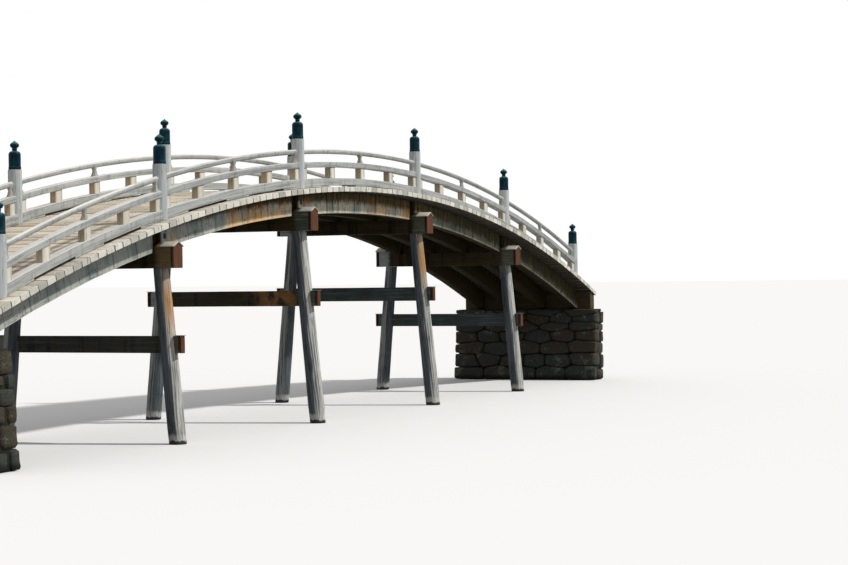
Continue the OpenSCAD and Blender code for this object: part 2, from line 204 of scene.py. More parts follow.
# Joins rings of points into one closed solid, with a fan at each end, and turns its faces outward.
def closeRings(rings, place, rng):
    number, count = rings.shape[:2]
    local = np.concatenate([rings.reshape(-1, 3), [rings[0].mean(0), rings[-1].mean(0)]])
    verts = np.stack(place(*local.T), -1)
    i = np.arange(number - 1)[:, None] * count
    j = np.arange(count)
    k = (j + 1) % count
    quads = np.stack([i + j, i + k, i + count + k, i + count + j], -1).reshape(-1, 4)
    last, hub = (number - 1) * count, 0 * j + number * count
    tris = np.concatenate([np.stack([k, j, hub], -1), np.stack([last + j, last + k, hub + 1], -1)])
    corners = np.concatenate([tris, quads[:, [0, 1, 2]], quads[:, [0, 2, 3]]])
    p, q, r = (verts[corners[:, n]] - verts.mean(0) for n in range(3))
    if np.einsum("ij,ij->", p, np.cross(q, r)) < 0:
        quads, tris = quads[:, ::-1], tris[:, ::-1]
    plain = np.zeros(len(verts))
    return {"verts": verts, "quads": quads, "tris": tris, "local": local, "tone": plain + rng.random(),
            "mark": plain.copy(), "rust": plain.copy()}


def newObject(name, data):
    obj = bpy.data.objects.new(name, data)
    bpy.context.collection.objects.link(obj)
    return obj


# Joins solids into one mesh object that rides on the bridge and stands for the named nodes. The
# attribute local holds each point in its own bar, and tone is one random value a solid. What mark and
# rust are is said beside each material.
def piece(name, solids, material, nodes, sharp=38):
    starts = np.cumsum([0] + [len(part["verts"]) for part in solids])
    quads, tris = (np.concatenate([part[key] + start for part, start in zip(solids, starts)])
                   for key in ("quads", "tris"))
    whole = {key: np.concatenate([part[key] for part in solids]).astype(np.float32)
             for key in ("verts", "local", "tone", "mark", "rust")}
    mesh = bpy.data.meshes.new(name)
    mesh.vertices.add(len(whole["verts"]))
    mesh.vertices.foreach_set("co", whole["verts"].ravel())
    mesh.loops.add(quads.size + tris.size)
    mesh.loops.foreach_set("vertex_index", np.concatenate([quads.ravel(), tris.ravel()]).astype(np.int32))
    mesh.polygons.add(len(quads) + len(tris))
    starts = np.concatenate([np.arange(len(quads)) * 4, quads.size + np.arange(len(tris)) * 3])
    mesh.polygons.foreach_set("loop_start", starts.astype(np.int32))
    mesh.update(calc_edges=True)
    mesh.attributes.new("local", "FLOAT_VECTOR", "POINT").data.foreach_set("vector", whole["local"].ravel())
    for key in ("tone", "mark", "rust"):
        mesh.attributes.new(key, "FLOAT", "POINT").data.foreach_set("value", whole[key])
    mesh.polygons.foreach_set("use_smooth", np.ones(len(mesh.polygons), bool))
    mesh.set_sharp_from_angle(angle=math.radians(sharp))
    mesh.validate()
    mesh.materials.append(material)
    obj = newObject(name, mesh)
    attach(obj, "root")
    if nodes:
        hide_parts(*nodes)
    print("piece:", name, len(quads) * 2 + len(tris), "triangles")


# Point at a radius and angle about the centre of the arch, y across the bridge.
def polar(r, angle, y):
    return r * np.sin(angle), y, centreZ + r * np.cos(angle)


# Places along the arch at radius r0 + b, upright at x and y, and across the bridge at x and z.
def onArch(r0, y):
    return lambda s, a, b: polar(r0 + b, s / r0, a + y)


def upright(x, y):
    return lambda s, a, b: (x + a, y + b, s)


def across(x, z):
    return lambda s, a, b: (x + a, s, z + b)


# Rings of a turned shape, from its heights and radii.
def turned(heights, radii, count):
    ring = roundSection(1.0, count)
    h, r = heights[:, None], radii[:, None]
    return np.stack([h + 0 * ring["a"], r * ring["a"], r * ring["b"]], -1)


# Grain that stands upright in a board or strut that was carried along another way.
def standGrain(part):
    part["local"] = part["verts"][:, [2, 0, 1]].copy()
    return part


# Materials. newMaterial opens the graph that the functions below it add their nodes to. What they take
# and give is a node's socket, or a plain number or colour.
current = {}


def node(kind, inputs=None, **props):
    graph = current["graph"]
    made = graph.nodes.new(kind)
    for key, value in props.items():
        setattr(made, key, value)
    for key, value in (inputs or {}).items():
        socket = made.inputs[key]
        if isinstance(value, bpy.types.NodeSocket):
            graph.links.new(value, socket)
        else:
            socket.default_value = (*value, 1.0) if socket.type == "RGBA" else value
    return made


def openGraph(owner):
    owner.use_nodes = True
    current["graph"] = owner.node_tree
    current["graph"].nodes.clear()


def newMaterial(name):
    material = bpy.data.materials.new(name)
    openGraph(material)
    return material


def shader(inputs):
    node("ShaderNodeOutputMaterial", {0: node("ShaderNodeBsdfPrincipled", inputs).outputs[0]})


def maths(operation, one, two=0.0):
    return node("ShaderNodeMath", {0: one, 1: two}, operation=operation).outputs[0]


def plus(total, *others):
    for other in others:
        total = maths("ADD", total, other)
    return total


def times(total, *others):
    for other in others:
        total = maths("MULTIPLY", total, other)
    return total


def minus(one, two):
    return maths("SUBTRACT", one, two)


def absolute(value):
    return maths("ABSOLUTE", value)


# A noise value as an offset, up to half of reach to either side.
def swing(value, reach):
    return times(minus(value, 0.5), reach)


def ramp(value, low, high, fromValue=0.0, toValue=1.0):
    return node("ShaderNodeMapRange", {"Value": value, "From Min": low, "From Max": high, "To Min": fromValue,
                "To Max": toValue}, interpolation_type="SMOOTHSTEP").outputs[0]


def blend(share, one, two):
    return node("ShaderNodeMix", {0: share, 6: one, 7: two}, data_type="RGBA").outputs[2]


# Lays coats over a colour, one after another. Each is a colour, or the name of one in the look, and the
# shares by whose product it covers.
def coated(colour, look, *coats):
    for coat, *shares in coats:
        colour = blend(times(*shares), colour, look[coat] if isinstance(coat, str) else coat)
    return colour


def scaled(vector, factor):
    return node("ShaderNodeVectorMath", {0: vector, "Scale": factor}, operation="SCALE").outputs[0]


def stretched(vector, scale):
    return node("ShaderNodeMapping", {"Vector": vector, "Scale": scale}).outputs[0]


def noise(vector, scale, detail=4.0, rough=0.55, distortion=0.0):
    return node("ShaderNodeTexNoise", {"Vector": vector, "Scale": scale, "Detail": detail, "Roughness": rough,
                "Distortion": distortion}).outputs[0]


# Noise with so many features a metre along each axis: few along and many across give streaks.
def streaks(vector, scale, detail=4.0, rough=0.6, distortion=0.0):
    return noise(stretched(vector, scale), 1.0, detail, rough, distortion)


def parts(vector):
    return node("ShaderNodeSeparateXYZ", {0: vector}).outputs


def attribute(name, output="Fac"):
    return node("ShaderNodeAttribute", attribute_name=name).outputs[output]


def objectPlace():
    return node("ShaderNodeTexCoord").outputs["Object"]


def bump(height, strength, distance):
    return node("ShaderNodeBump", {"Height": height, "Strength": strength, "Distance": distance}).outputs[0]


# Share by which a face looks up, from 0 for a standing face to 1 for a level one. With both limits
# below zero it is the share by which a face looks down.
def upward(low=0.3, high=0.85):
    return ramp(parts(node("ShaderNodeNewGeometry").outputs["Normal"])[2], low, high)


def lookingDown():
    return upward(-0.4, -0.8)


# Distance across the bridge from the middle of the nearer sill.
def fromSill(y):
    return absolute(minus(absolute(y), size["postY"]))


# Weathered timber. The grain runs along each bar in soft bands, rings, fibres and thin dark cracks.
# Stains and lichen lie over it in the bridge's own coordinates, and then the finish's own coats.
def timber(name, look):
    material = newMaterial(name)
    tone, local, place = attribute("tone"), attribute("local", "Vector"), objectPlace()
    own = scaled((31.7, 17.3, 23.9), tone)      # a bar's own part of the pattern
    grain = node("ShaderNodeVectorMath", {0: local, 1: own}, operation="ADD").outputs[0]
    bands = noise(stretched(grain, (0.45, 9, 9)), 1.6, 5.0, 0.6, 0.4)
    rings = node("ShaderNodeTexWave", {"Vector": stretched(grain, (0.05, 1, 1)), "Scale": 9.0,
                 "Distortion": 5.0, "Detail": 3.0, "Detail Scale": 1.6},
                 wave_type="RINGS", rings_direction="X").outputs[1]
    fibres = streaks(grain, (3.0, 130, 130))
    thread = streaks(grain, (0.9, 34, 34), 3.0, 0.5, 0.3)
    patch = noise(place, 1.3, 6.0, 0.65, 0.6)
    crack = times(ramp(absolute(minus(thread, 0.5)), 0.0, look["crackWidth"], 1.0, 0.0),
                  ramp(patch, 0.38, 0.6))
    colour = coated(
        blend(ramp(bands, 0.32, 0.68), look["dark"], look["light"]), look,
        ("ring", rings, 0.35),
        ("light", ramp(fibres, 0.35, 0.65, 0.0, 0.5)),
        ("stain", ramp(patch, 0.52, 0.72, 0.0, look["stainAmount"])),
        ("lichen", ramp(noise(place, 5.5, 6.0, 0.7), 0.56, 0.66), ramp(noise(place, 38.0, 3.0), 0.45, 0.6),
         look["lichenAmount"]))
    if "coats" in look:
        colour = look["coats"](look, colour, local, place)
    colour = coated(colour, look, ("crack", crack, 0.8))
    colour = scaled(colour, ramp(tone, 0.0, 1.0, 1 - look["variety"], 1 + look["variety"]))
    height = minus(plus(times(fibres, 0.45), times(bands, 0.5)), times(crack, 1.2))
    shader({"Base Color": colour, "Roughness": ramp(fibres, 0.3, 0.7, 0.62, 0.9),
            "Specular IOR Level": look["specular"], "Normal": bump(height, 0.55, look["bump"])})
    return material


# Rails: tops nearly white, partly bleached and partly a painted sunlit top, standing faces a cooler grey with
# drips and dark lines. On blocks and struts mark is the tan sides, partly their own colour and partly painted
# shade, and rust the cream faces. Painted shade darkens the drain slots inside.
def bleachedTops(look, colour, local, place):
    x, y, z = parts(place)
    soft = streaks(local, (1.0, 12.0, 12.0), rough=0.55)
    standing = minus(1.0, upward())
    # Tan of the sides: lighter toward the left end as painted light, darker toward the right as painted
    # shade.
    tan = blend(ramp(x, *look["tanFades"]), look["tanLeft"], look["tanRight"])
    rise = minus(z, centreZ)
    radius = maths("SQRT", plus(times(x, x), times(rise, rise)))
    slotTop, slotDeep = deckR + size["slotH"], size["sillW"] / 2
    return coated(
        colour, look,
        # Lighter tops: partly bleaching, partly a painted sunlit top.
        ("bleached", upward(), ramp(soft, 0.3, 0.6, 0.55, 0.9)),
        ("drip", standing, ramp(streaks(place, (11.0, 1.0, 1.4)), 0.52, 0.66, 0.0, 0.45)),
        ("line", standing, ramp(streaks(local, (0.8, 26.0, 26.0)), 0.53, 0.63, 0.0, 0.5)),
        ("cream", ramp(attribute("rust"), 0.0, 1.0, 0.0, 0.85), ramp(soft, 0.3, 0.6, 0.6, 1.0)),
        # Tan sides along the bridge: partly their own colour, partly painted shade.
        (tan, attribute("mark"), ramp(soft, 0.3, 0.7, 0.6, 0.95)),
        # Painted shade inside the drain slots, on the sill's underside and the feet near the deck.
        ("slot", ramp(radius, slotTop + 0.012, slotTop + 0.006),
         ramp(fromSill(y), slotDeep - 0.006, slotDeep - 0.012, 0.0, 0.9)))


# Posts: streaked lengthwise by rain, dark and pale.
def rainStreaked(look, colour, local, place):
    streak = streaks(local, (0.9, 22.0, 22.0), 5.0, 0.65)
    return coated(colour, look, ("streak", ramp(streak, 0.52, 0.66, 0.0, 0.6)),
                  ("bleached", ramp(streak, 0.48, 0.34, 0.0, 0.5)))


# Deck boards: trodden tan tops, each darker toward one joint, and washed pale outside the sills. The
# sawn ends are nearly white with dark smudges and joints. Painted shade darkens the deck top under the
# sills, the undersides and the board sides in the gaps. Mark is the share by which a place is washed.
def washedEnds(look, colour, local, place):
    x, y, _ = parts(place)
    tone, washed, beside = attribute("tone"), attribute("mark"), parts(local)[1]
    fromMiddle, fromCrown, sawn = absolute(beside), absolute(x), ramp(washed, 0.75, 0.9)
    cloud = noise(place, 9.0, 5.0, 0.65)
    smudge = streaks(place, (14.0, 14.0, 5.0), 5.0, 0.7)
    hollow = plus(times(beside, ramp(tone, 0.15, 0.85, -1.3, 1.3)), swing(cloud, 0.10))
    half, endX, deckEndX = size["sillW"] / 2, size["endX"], size["deckEndX"]
    return coated(
        colour, look,
        ("washed", washed, ramp(cloud, 0.3, 0.5, 0.7, 0.97)),
        ("smudge", washed, ramp(smudge, 0.55, 0.66, 0.0, 0.65)),
        ("greyEnd", sawn, ramp(tone, 0.35, 0.0, 0.0, 0.45)),
        ("joint", sawn, ramp(fromMiddle, *look["jointAt"]), ramp(smudge, 0.46, 0.58, 0.0, 0.95)),
        ("trodden", minus(1.0, washed), ramp(hollow, 0.025, 0.095), ramp(smudge, 0.3, 0.6, 0.4, 0.8)),
        # Painted shade on the deck top under the sills.
        ("dirt", ramp(fromSill(y), half, half - 0.010, 0.0, 0.92), ramp(fromCrown, endX - 0.02, endX - 0.06),
         upward()),
        # Painted shade on the board sides in the gaps.
        ("gap", ramp(fromMiddle, *look["gapAt"], 0.0, 0.9),
         ramp(fromCrown, deckEndX - 0.05, deckEndX - 0.07)),
        # Painted shade on the undersides of the boards.
        (blend(ramp(cloud, 0.35, 0.65), look["underDark"], look["underLight"]), lookingDown()))


# Dark drips under the joints of the deck boards. Chance gives each joint its length and strength.
def jointDrips(place, height, wobble):
    x, y, z = parts(place)
    turn = maths("ARCTAN2", x, minus(z, centreZ))
    boards = plus(maths("DIVIDE", turn, boardAngle), size["boards"] / 2)
    joint = maths("ROUND", boards)
    seed = plus(joint, times(maths("SIGN", y), 0.25))
    chance = node("ShaderNodeTexWhiteNoise", {"W": seed}, noise_dimensions="1D").outputs[0]
    off = plus(absolute(minus(boards, joint)), swing(wobble, 0.55))
    reach = ramp(plus(height, times(chance, 0.55)), 0.12, 0.28)
    strength = times(ramp(chance, 0.1, 0.8, 0.15, 1.0), ramp(x, -5.0, -2.8, 0.45, 1.0))
    return times(ramp(off, 0.13, 0.03), reach, strength)


# Where along the bridge the coats of the girder faces come or go: from x, to x, and their shares there.
zones = {
    "mossy": (-3.0, 5.0), "rightEnd": (1.5, 6.0, 0.0, 0.72), "leftEnd": (-5.0, -6.5, 0.0, 0.6),
    "ochreRight": (2.0, 6.0, 0.6, 0.25), "ochreLeft": (-2.0, -4.0, 1.0, 0.4), "dip": (-7.2, -7.7, 0.0, -0.08),
    "shadeFrom": (-7.4, -7.0), "shadeFades": (-1.0, -3.0, 0.35, 1.0), "cool": (-2.6, -4.2),
    "paleLeft": (-5.0, -6.5, 0.0, 0.55), "paleRight": (2.8, 4.5, 0.0, 0.85), "arris": (2.8, 5.0, 1.0, 0.4),
    "washed": (2.6, 3.4),
}


# Girder faces: brown with ochre runs under the deck, washed pale below. The pale part is deep at the left
# end of the bridge and dies out toward the right end, where the faces also darken: partly weathering and
# partly the deck's shadow painted in. Dark drips cross both, and rust is the orange patches, brightest low
# down. Painted shade darkens the upper faces, most in the second bay, the faces looking down, the inner faces
# and the bores (mark).
def washedFaces(look, colour, local, place):
    x, y, _ = parts(place)
    height, depth = parts(local)[2], absolute(y)
    face = ramp(depth, 1.355, 1.375)
    zone = {name: ramp(x, *limits) for name, limits in zones.items()}
    fine = streaks(local, (24.0, 1.0, 1.1))
    cloud = streaks(local, (2.3, 1.0, 4.5), 5.0)
    blot = streaks(local, (4.5, 1.0, 5.5), 6.0, 0.7)
    run = streaks(local, (13.0, 1.0, 0.7), 5.0)
    # level is the height over the wandering, fringed edge of the pale part
    # The edge of the pale part rises toward the right end: partly weathering, partly painted shadow of the
    # deck.
    level = plus(height, swing(cloud, 0.16), plus(swing(fine, 0.34), plus(times(x, 0.012), zone["dip"])))
    low = times(face, ramp(level, 0.05, -0.05))
    cold = ramp(streaks(local, (2.1, 1.0, 1.1), 3.0, 0.5), 0.49, 0.58)
    pale = coated(
        blend(zone["cool"], look["warmPale"], look["coolPale"]), look,
        ("coldPale", cold, ramp(fine, 0.36, 0.56, 0.3, 1.0)),
        ("paleLeft", zone["paleLeft"]),
        ("paleRight", zone["paleRight"]))
    orange = blend(ramp(minus(fine, height), 0.42, 0.62), look["orange"], look["orangeLow"])
    return coated(
        colour, look,
        ("fine", face, ramp(fine, 0.46, 0.64, 0.0, 0.75)),
        ("mossy", face, ramp(cloud, 0.50, 0.64, 0.0, 0.6), zone["mossy"]),
        # Darker toward the right end: partly weathering, partly painted shadow of the deck.
        ("rightEnd", face, zone["rightEnd"]),
        ("leftEnd", face, zone["leftEnd"]),
        ("run", face, ramp(run, 0.53, 0.62, 0.0, 0.75)),
        ("ochre", face, ramp(run, 0.47, 0.38), times(zone["ochreRight"], zone["ochreLeft"])),
        # Painted shadow of the deck on the upper faces, strongest in the second bay.
        ("shade", face, ramp(level, 0.0, 0.12, 0.0, 0.75), zone["shadeFrom"], zone["shadeFades"]),
        (pale, low, ramp(fine, 0.3, 0.5, 0.5, 0.95)),
        ("lowRun", low, ramp(streaks(local, (11.0, 1.0, 3.0), 5.0, 0.65), 0.57, 0.66, 0.0, 0.8)),
        ("arris", face, ramp(height, -0.180, -0.199), ramp(cloud, 0.3, 0.5, 0.25, 0.85), zone["arris"]),
        ("washed", face, ramp(streaks(local, (15.0, 1.0, 2.2), 5.0, 0.65), 0.52, 0.62, 0.0, 0.65),
         zone["washed"], ramp(level, 0.16, 0.02, 0.2, 1.0)),
        (orange, attribute("rust"), ramp(plus(blot, times(height, -0.80)), 0.40, 0.52), 0.92),
        ("drip", face, jointDrips(place, height, fine), 0.85),
        # Painted shade on faces looking down, on the inner faces and in the bores.
        ("under", lookingDown(), 0.7),
        ("inner", minus(1.0, ramp(depth, 1.30, 1.355)), 0.75),
        ("bore", attribute("mark")))


# Beams: brown with dark drips under the deck. Where they stand out from it they are green grey with moss
# on the near side, streaked with washed grey, and on the far side painted light turns them a pale blue grey.
# On the tie beams mark is a blue grey wash, and rust an orange stain.
def mossyEnds(look, colour, local, place):
    x, y, z = parts(place)
    cloud, blue = noise(place, 3.2, 6.0, 0.65), attribute("mark")
    ends = ramp(plus(absolute(y), times(cloud, 0.2)), *look["endsFrom"])
    moss = blend(ramp(x, 0.0, 2.0), look["moss"], look["mossRight"])
    moss = coated(moss, look, ("mossLeft", ramp(x, -4.0, -6.0)))
    return coated(
        colour, look,
        ("drip", ramp(streaks(place, (5.0, 5.0, 0.5)), 0.52, 0.62, 0.0, 0.85)),
        ("high", ramp(z, *look["highFrom"], 0.0, 0.45)),
        (moss, ends, 0.85),
        ("washed", ends, ramp(streaks(place, (3.0, 2.0, 22.0), 5.0), 0.52, 0.64, 0.0, 0.55)),
        # Painted light: the far ends, open to the sky, pale blue grey.
        ("farEnd", ends, ramp(y, 0.0, 1.0), ramp(cloud, 0.35, 0.55, 0.3, 0.9)),
        ("blue", blue, ramp(cloud, 0.3, 0.6, 0.5, 0.95)),
        ("blueStreak", blue, ramp(streaks(local, (0.8, 20.0, 20.0)), 0.52, 0.66, 0.0, 0.55)),
        ("rust", attribute("rust"), ramp(cloud, 0.40, 0.58)))


# Columns: dark blue grey logs, pale in long hard-edged streaks on the open side (mark), partly bleached
# and partly painted light, more on the near side, some with a rusty stain. At the foot a pale dried band
# lies over a black wet one.
def weatheredLogs(look, colour, local, place):
    _, y, z = parts(place)
    streak = streaks(local, (0.35, 15.0, 15.0), rough=0.65)
    thin = streaks(local, (0.8, 46.0, 46.0))
    bleached = blend(ramp(thin, 0.46, 0.60), look["bleached"], look["bleachedDark"])
    sunny = ramp(plus(attribute("mark"), swing(streak, 1.9)), 0.42, 0.56)
    level = plus(z, swing(streaks(local, (1.0, 9.0, 9.0), rough=0.55), 0.16))
    return coated(
        colour, look,
        # Pale open side: partly bleaching, partly a painted sunlit side.
        (bleached, sunny, ramp(y, -0.5, 0.5, 0.92, 0.45)),
        ("vein", ramp(streaks(local, (0.5, 11.0, 11.0), 6.0, 0.7), 0.545, 0.60, 0.0, 0.85)),
        ("thin", ramp(thin, 0.60, 0.68, 0.0, 0.8)),
        ("rust", attribute("rust"), ramp(streak, 0.36, 0.50, 0.3, 1.0)),
        ("dried", ramp(level, *look["driedAt"], 0.0, 0.8)),
        ("wet", ramp(level, *look["wetAt"], 0.0, 0.94)))


# Colours and amounts of each timber. The first line or two of each are its wood, then come its coats.
plainLook = {"crackWidth": 0.012, "stainAmount": 0.5, "lichenAmount": 0.3, "variety": 0.10, "bump": 0.004,
             "specular": 0.2}
timbers = {
    "rails": dict(
        light=(0.455, 0.475, 0.465), dark=(0.27, 0.288, 0.288), ring=(0.36, 0.375, 0.37),
        stain=(0.24, 0.255, 0.25), lichen=(0.56, 0.58, 0.51), crack=(0.06, 0.06, 0.055), variety=0.07,
        coats=bleachedTops, bleached=(0.76, 0.745, 0.70), drip=(0.19, 0.20, 0.19), line=(0.15, 0.16, 0.155),
        cream=(0.80, 0.755, 0.65), tanLeft=(0.62, 0.50, 0.325), tanRight=(0.36, 0.305, 0.215),
        tanFades=(-4.5, -0.5), slot=(0.045, 0.050, 0.046)),
    "posts": dict(
        light=(0.54, 0.575, 0.58), dark=(0.36, 0.40, 0.415), ring=(0.45, 0.48, 0.485),
        stain=(0.26, 0.29, 0.305), lichen=(0.50, 0.53, 0.47), crack=(0.05, 0.055, 0.06), stainAmount=0.4,
        variety=0.04, coats=rainStreaked, streak=(0.22, 0.245, 0.26), bleached=(0.66, 0.675, 0.65)),
    "deck": dict(
        light=(0.72, 0.65, 0.53), dark=(0.53, 0.465, 0.365), ring=(0.62, 0.55, 0.44),
        stain=(0.39, 0.32, 0.26), lichen=(0.60, 0.57, 0.48), crack=(0.09, 0.065, 0.045), variety=0.17,
        coats=washedEnds, washed=(0.69, 0.675, 0.60), smudge=(0.16, 0.145, 0.115),
        greyEnd=(0.33, 0.335, 0.285), joint=(0.10, 0.085, 0.060), jointAt=(0.098, 0.114),
        trodden=(0.31, 0.220, 0.140), dirt=(0.050, 0.052, 0.044), gap=(0.035, 0.028, 0.020),
        gapAt=(0.1132, 0.1150), underDark=(0.020, 0.016, 0.011), underLight=(0.055, 0.044, 0.031)),
    "girders": dict(
        light=(0.160, 0.112, 0.048), dark=(0.062, 0.043, 0.019), ring=(0.102, 0.072, 0.031),
        stain=(0.045, 0.036, 0.019), lichen=(0.17, 0.18, 0.12), crack=(0.012, 0.010, 0.007), bump=0.005,
        specular=0.05, coats=washedFaces, fine=(0.26, 0.185, 0.070), mossy=(0.095, 0.100, 0.048),
        rightEnd=(0.024, 0.024, 0.012), leftEnd=(0.085, 0.088, 0.068), run=(0.026, 0.021, 0.012),
        ochre=(0.215, 0.175, 0.080), shade=(0.030, 0.026, 0.016), warmPale=(0.80, 0.74, 0.58),
        coolPale=(0.70, 0.72, 0.66), coldPale=(0.31, 0.42, 0.43), paleLeft=(0.27, 0.31, 0.30),
        paleRight=(0.115, 0.130, 0.095), lowRun=(0.115, 0.135, 0.125), arris=(0.60, 0.56, 0.45),
        washed=(0.29, 0.29, 0.20), orange=(0.36, 0.150, 0.040), orangeLow=(0.84, 0.52, 0.215),
        drip=(0.024, 0.018, 0.011), under=(0.026, 0.021, 0.014), inner=(0.020, 0.015, 0.009),
        bore=(0.008, 0.006, 0.004)),
    "beams": dict(
        light=(0.100, 0.073, 0.037), dark=(0.042, 0.032, 0.018), ring=(0.068, 0.051, 0.028),
        stain=(0.040, 0.034, 0.023), lichen=(0.15, 0.16, 0.11), crack=(0.010, 0.009, 0.007), bump=0.005,
        specular=0.05, coats=mossyEnds, drip=(0.022, 0.017, 0.011), high=(0.018, 0.014, 0.008),
        highFrom=(1.9, 2.1), endsFrom=(1.50, 1.62), moss=(0.080, 0.102, 0.082),
        mossRight=(0.125, 0.130, 0.100), mossLeft=(0.25, 0.172, 0.090), washed=(0.27, 0.28, 0.235),
        farEnd=(0.36, 0.40, 0.41), blue=(0.065, 0.092, 0.098), blueStreak=(0.22, 0.25, 0.25),
        rust=(0.36, 0.185, 0.065)),
    "endBeams": dict(
        light=(0.105, 0.078, 0.043), dark=(0.048, 0.036, 0.021), ring=(0.073, 0.055, 0.031),
        stain=(0.048, 0.038, 0.026), lichen=(0.20, 0.21, 0.15), crack=(0.012, 0.010, 0.007),
        lichenAmount=0.5, bump=0.005, specular=0.05),
    "columns": dict(
        light=(0.165, 0.190, 0.205), dark=(0.060, 0.075, 0.086), ring=(0.100, 0.116, 0.128),
        stain=(0.042, 0.052, 0.058), lichen=(0.28, 0.31, 0.28), crack=(0.010, 0.012, 0.013), bump=0.007,
        crackWidth=0.022, specular=0.08, coats=weatheredLogs, bleached=(0.65, 0.645, 0.595),
        bleachedDark=(0.215, 0.240, 0.245), vein=(0.050, 0.064, 0.072), thin=(0.030, 0.036, 0.040),
        rust=(0.47, 0.25, 0.10), dried=(0.58, 0.59, 0.55), driedAt=(0.20, 0.12), wet=(0.016, 0.020, 0.016),
        wetAt=(0.070, 0.045)),
    "boards": dict(
        light=(0.128, 0.055, 0.032), dark=(0.072, 0.031, 0.019), ring=(0.098, 0.043, 0.026),
        stain=(0.060, 0.036, 0.028), lichen=(0.22, 0.18, 0.14), crack=(0.020, 0.012, 0.009),
        lichenAmount=0.2, specular=0.1),
    "covers": dict(
        light=(0.66, 0.64, 0.56), dark=(0.45, 0.43, 0.37), ring=(0.55, 0.53, 0.46),
        stain=(0.30, 0.29, 0.25), lichen=(0.52, 0.55, 0.46), crack=(0.08, 0.07, 0.06)),
}
wood = {name: timber(name + "Timber", {**plainLook, **look}) for name, look in timbers.items()}


# Patinated bronze: dark blue green, with pale verdigris in runs, and on the upward crowns a pale coat that
# is partly verdigris and partly a painted highlight.
def bronzeMaterial(dark=(0.001, 0.014, 0.026), green=(0.002, 0.038, 0.054), verdigris=(0.075, 0.21, 0.23)):
    material = newMaterial("patinatedBronze")
    place = objectPlace()
    cloud = noise(place, 9.0, 6.0, 0.65)
    # Upward crowns: partly verdigris, partly painted highlight.
    crowns = times(upward(0.35, 0.9), ramp(cloud, 0.34, 0.6, 0.35, 0.9))
    runs = times(ramp(streaks(place, (40.0, 40.0, 3.5), 5.0), 0.56, 0.72), 0.35)
    colour = blend(maths("MAXIMUM", runs, crowns), blend(ramp(cloud, 0.4, 0.65), dark, green), verdigris)
    shader({"Base Color": colour, "Roughness": ramp(cloud, 0.3, 0.7, 0.34, 0.6), "Specular IOR Level": 0.08,
            "Normal": bump(noise(place, 60.0, 4.0), 0.25, 0.002)})
    return material


stoneLook = {"grey": (0.055, 0.063, 0.057), "brown": (0.072, 0.055, 0.037), "dark": (0.020, 0.020, 0.017),
             "moss": (0.038, 0.050, 0.018), "lichen": (0.19, 0.20, 0.17), "wet": (0.014, 0.016, 0.012)}


# Rough stone: grey and brown by tone, with painted shade in the joints (mark), dark at the foot, with moss
# and lichen.
def stoneMaterial():
    look, material = stoneLook, newMaterial("rubbleStone")
    place, mark = objectPlace(), attribute("mark")
    cloud, grit = noise(place, 2.6, 7.0, 0.68), noise(place, 34.0, 6.0, 0.7)
    patch = swing(noise(place, 6.0, 5.0, 0.6), 1.6)
    level = plus(parts(place)[2], times(cloud, 0.2))
    colour = coated(
        blend(ramp(plus(attribute("tone"), patch), 0.2, 0.8), look["grey"], look["brown"]), look,
        ("dark", ramp(grit, 0.44, 0.60, 0.0, 0.65)),
        ("lichen", ramp(noise(place, 80.0, 3.0), 0.56, 0.66, 0.0, 0.5)),
        ("lichen", ramp(cloud, 0.55, 0.63), ramp(grit, 0.42, 0.54, 1.0, 0.2)),
        ("moss", ramp(mark, 0.35, 0.9), ramp(noise(place, 7.0, 5.0), 0.4, 0.6)),
        # Painted shade in the joints and on the core.
        ("dark", ramp(mark, 0.75, 1.0, 0.0, 0.8)),
        ("wet", ramp(level, 0.26, 0.16, 0.0, 0.85)))
    shader({"Base Color": colour, "Roughness": 0.92, "Specular IOR Level": 0.1,
            "Normal": bump(plus(times(cloud, 0.5), times(grit, 0.5)), 0.9, 0.022)})
    return material


def ironMaterial(dark=(0.018, 0.014, 0.012), rusty=(0.13, 0.05, 0.022)):
    material = newMaterial("rustedIron")
    rust = ramp(noise(objectPlace(), 45.0, 5.0), 0.4, 0.62)
    shader({"Base Color": blend(rust, dark, rusty), "Roughness": 0.8, "Metallic": 0.3})
    return material


bronze, stone, iron = bronzeMaterial(), stoneMaterial(), ironMaterial()
print("stage: materials")

# Deck boards. Their ends are washed pale from "washed" inside the ends on, more from "outside" on.
deck = {"gap": 0.007, "edge": 0.006, "endPlay": 0.005, "heightPlay": 0.004, "endPaint": 0.02, "washed": 0.27,
        "outside": 0.12, "form": {"stations": 14, "rough": 0.0015, "crackDepth": 0.006}}
boardPitch = deckR * boardAngle


# Place of the middle of board k along the arch at the top of the deck.
def boardMiddle(k):
    return (k + 0.5 - size["boards"] / 2) * boardPitch


def deckBoards():
    rng = np.random.default_rng(11)
    breaks = [arcAt(deckR, (deckR + size["soffitR"]) / 2, x) for x in pierX]
    bays = [[] for _ in range(5)]
    for middle in map(boardMiddle, range(size["boards"])):
        thick = size["boardT"] - rng.uniform(0, deck["heightPlay"])
        section = rectSection(boardPitch - deck["gap"], thick, deck["edge"], (5, 2),
                              someCracks(rng, 2, [1], 0.002))

        def place(s, a, b):
            return polar(size["soffitR"] + thick / 2 + b, (middle + a) / deckR, s)
        reach = size["deckHalf"] - rng.uniform(0.001, deck["endPlay"], 2)
        part = bar(section, place, -reach[0], reach[1], rng, deck["form"])
        out = np.abs(part["verts"][:, 1]) - size["deckHalf"]
        washed = 0.45 * ease((out + deck["washed"]) / 0.08) + 0.3 * ease((out + deck["outside"]) / 0.04)
        part["mark"] = washed + 0.25 * ease((out + 2 * deck["endPaint"]) / deck["endPaint"])
        bays[int(np.searchsorted(breaks, middle))].append(part)
    for number, solids in enumerate(bays, 1):
        piece(f"deckBoards{number}", solids, wood["deck"], [f"bay_{number}_deck"])


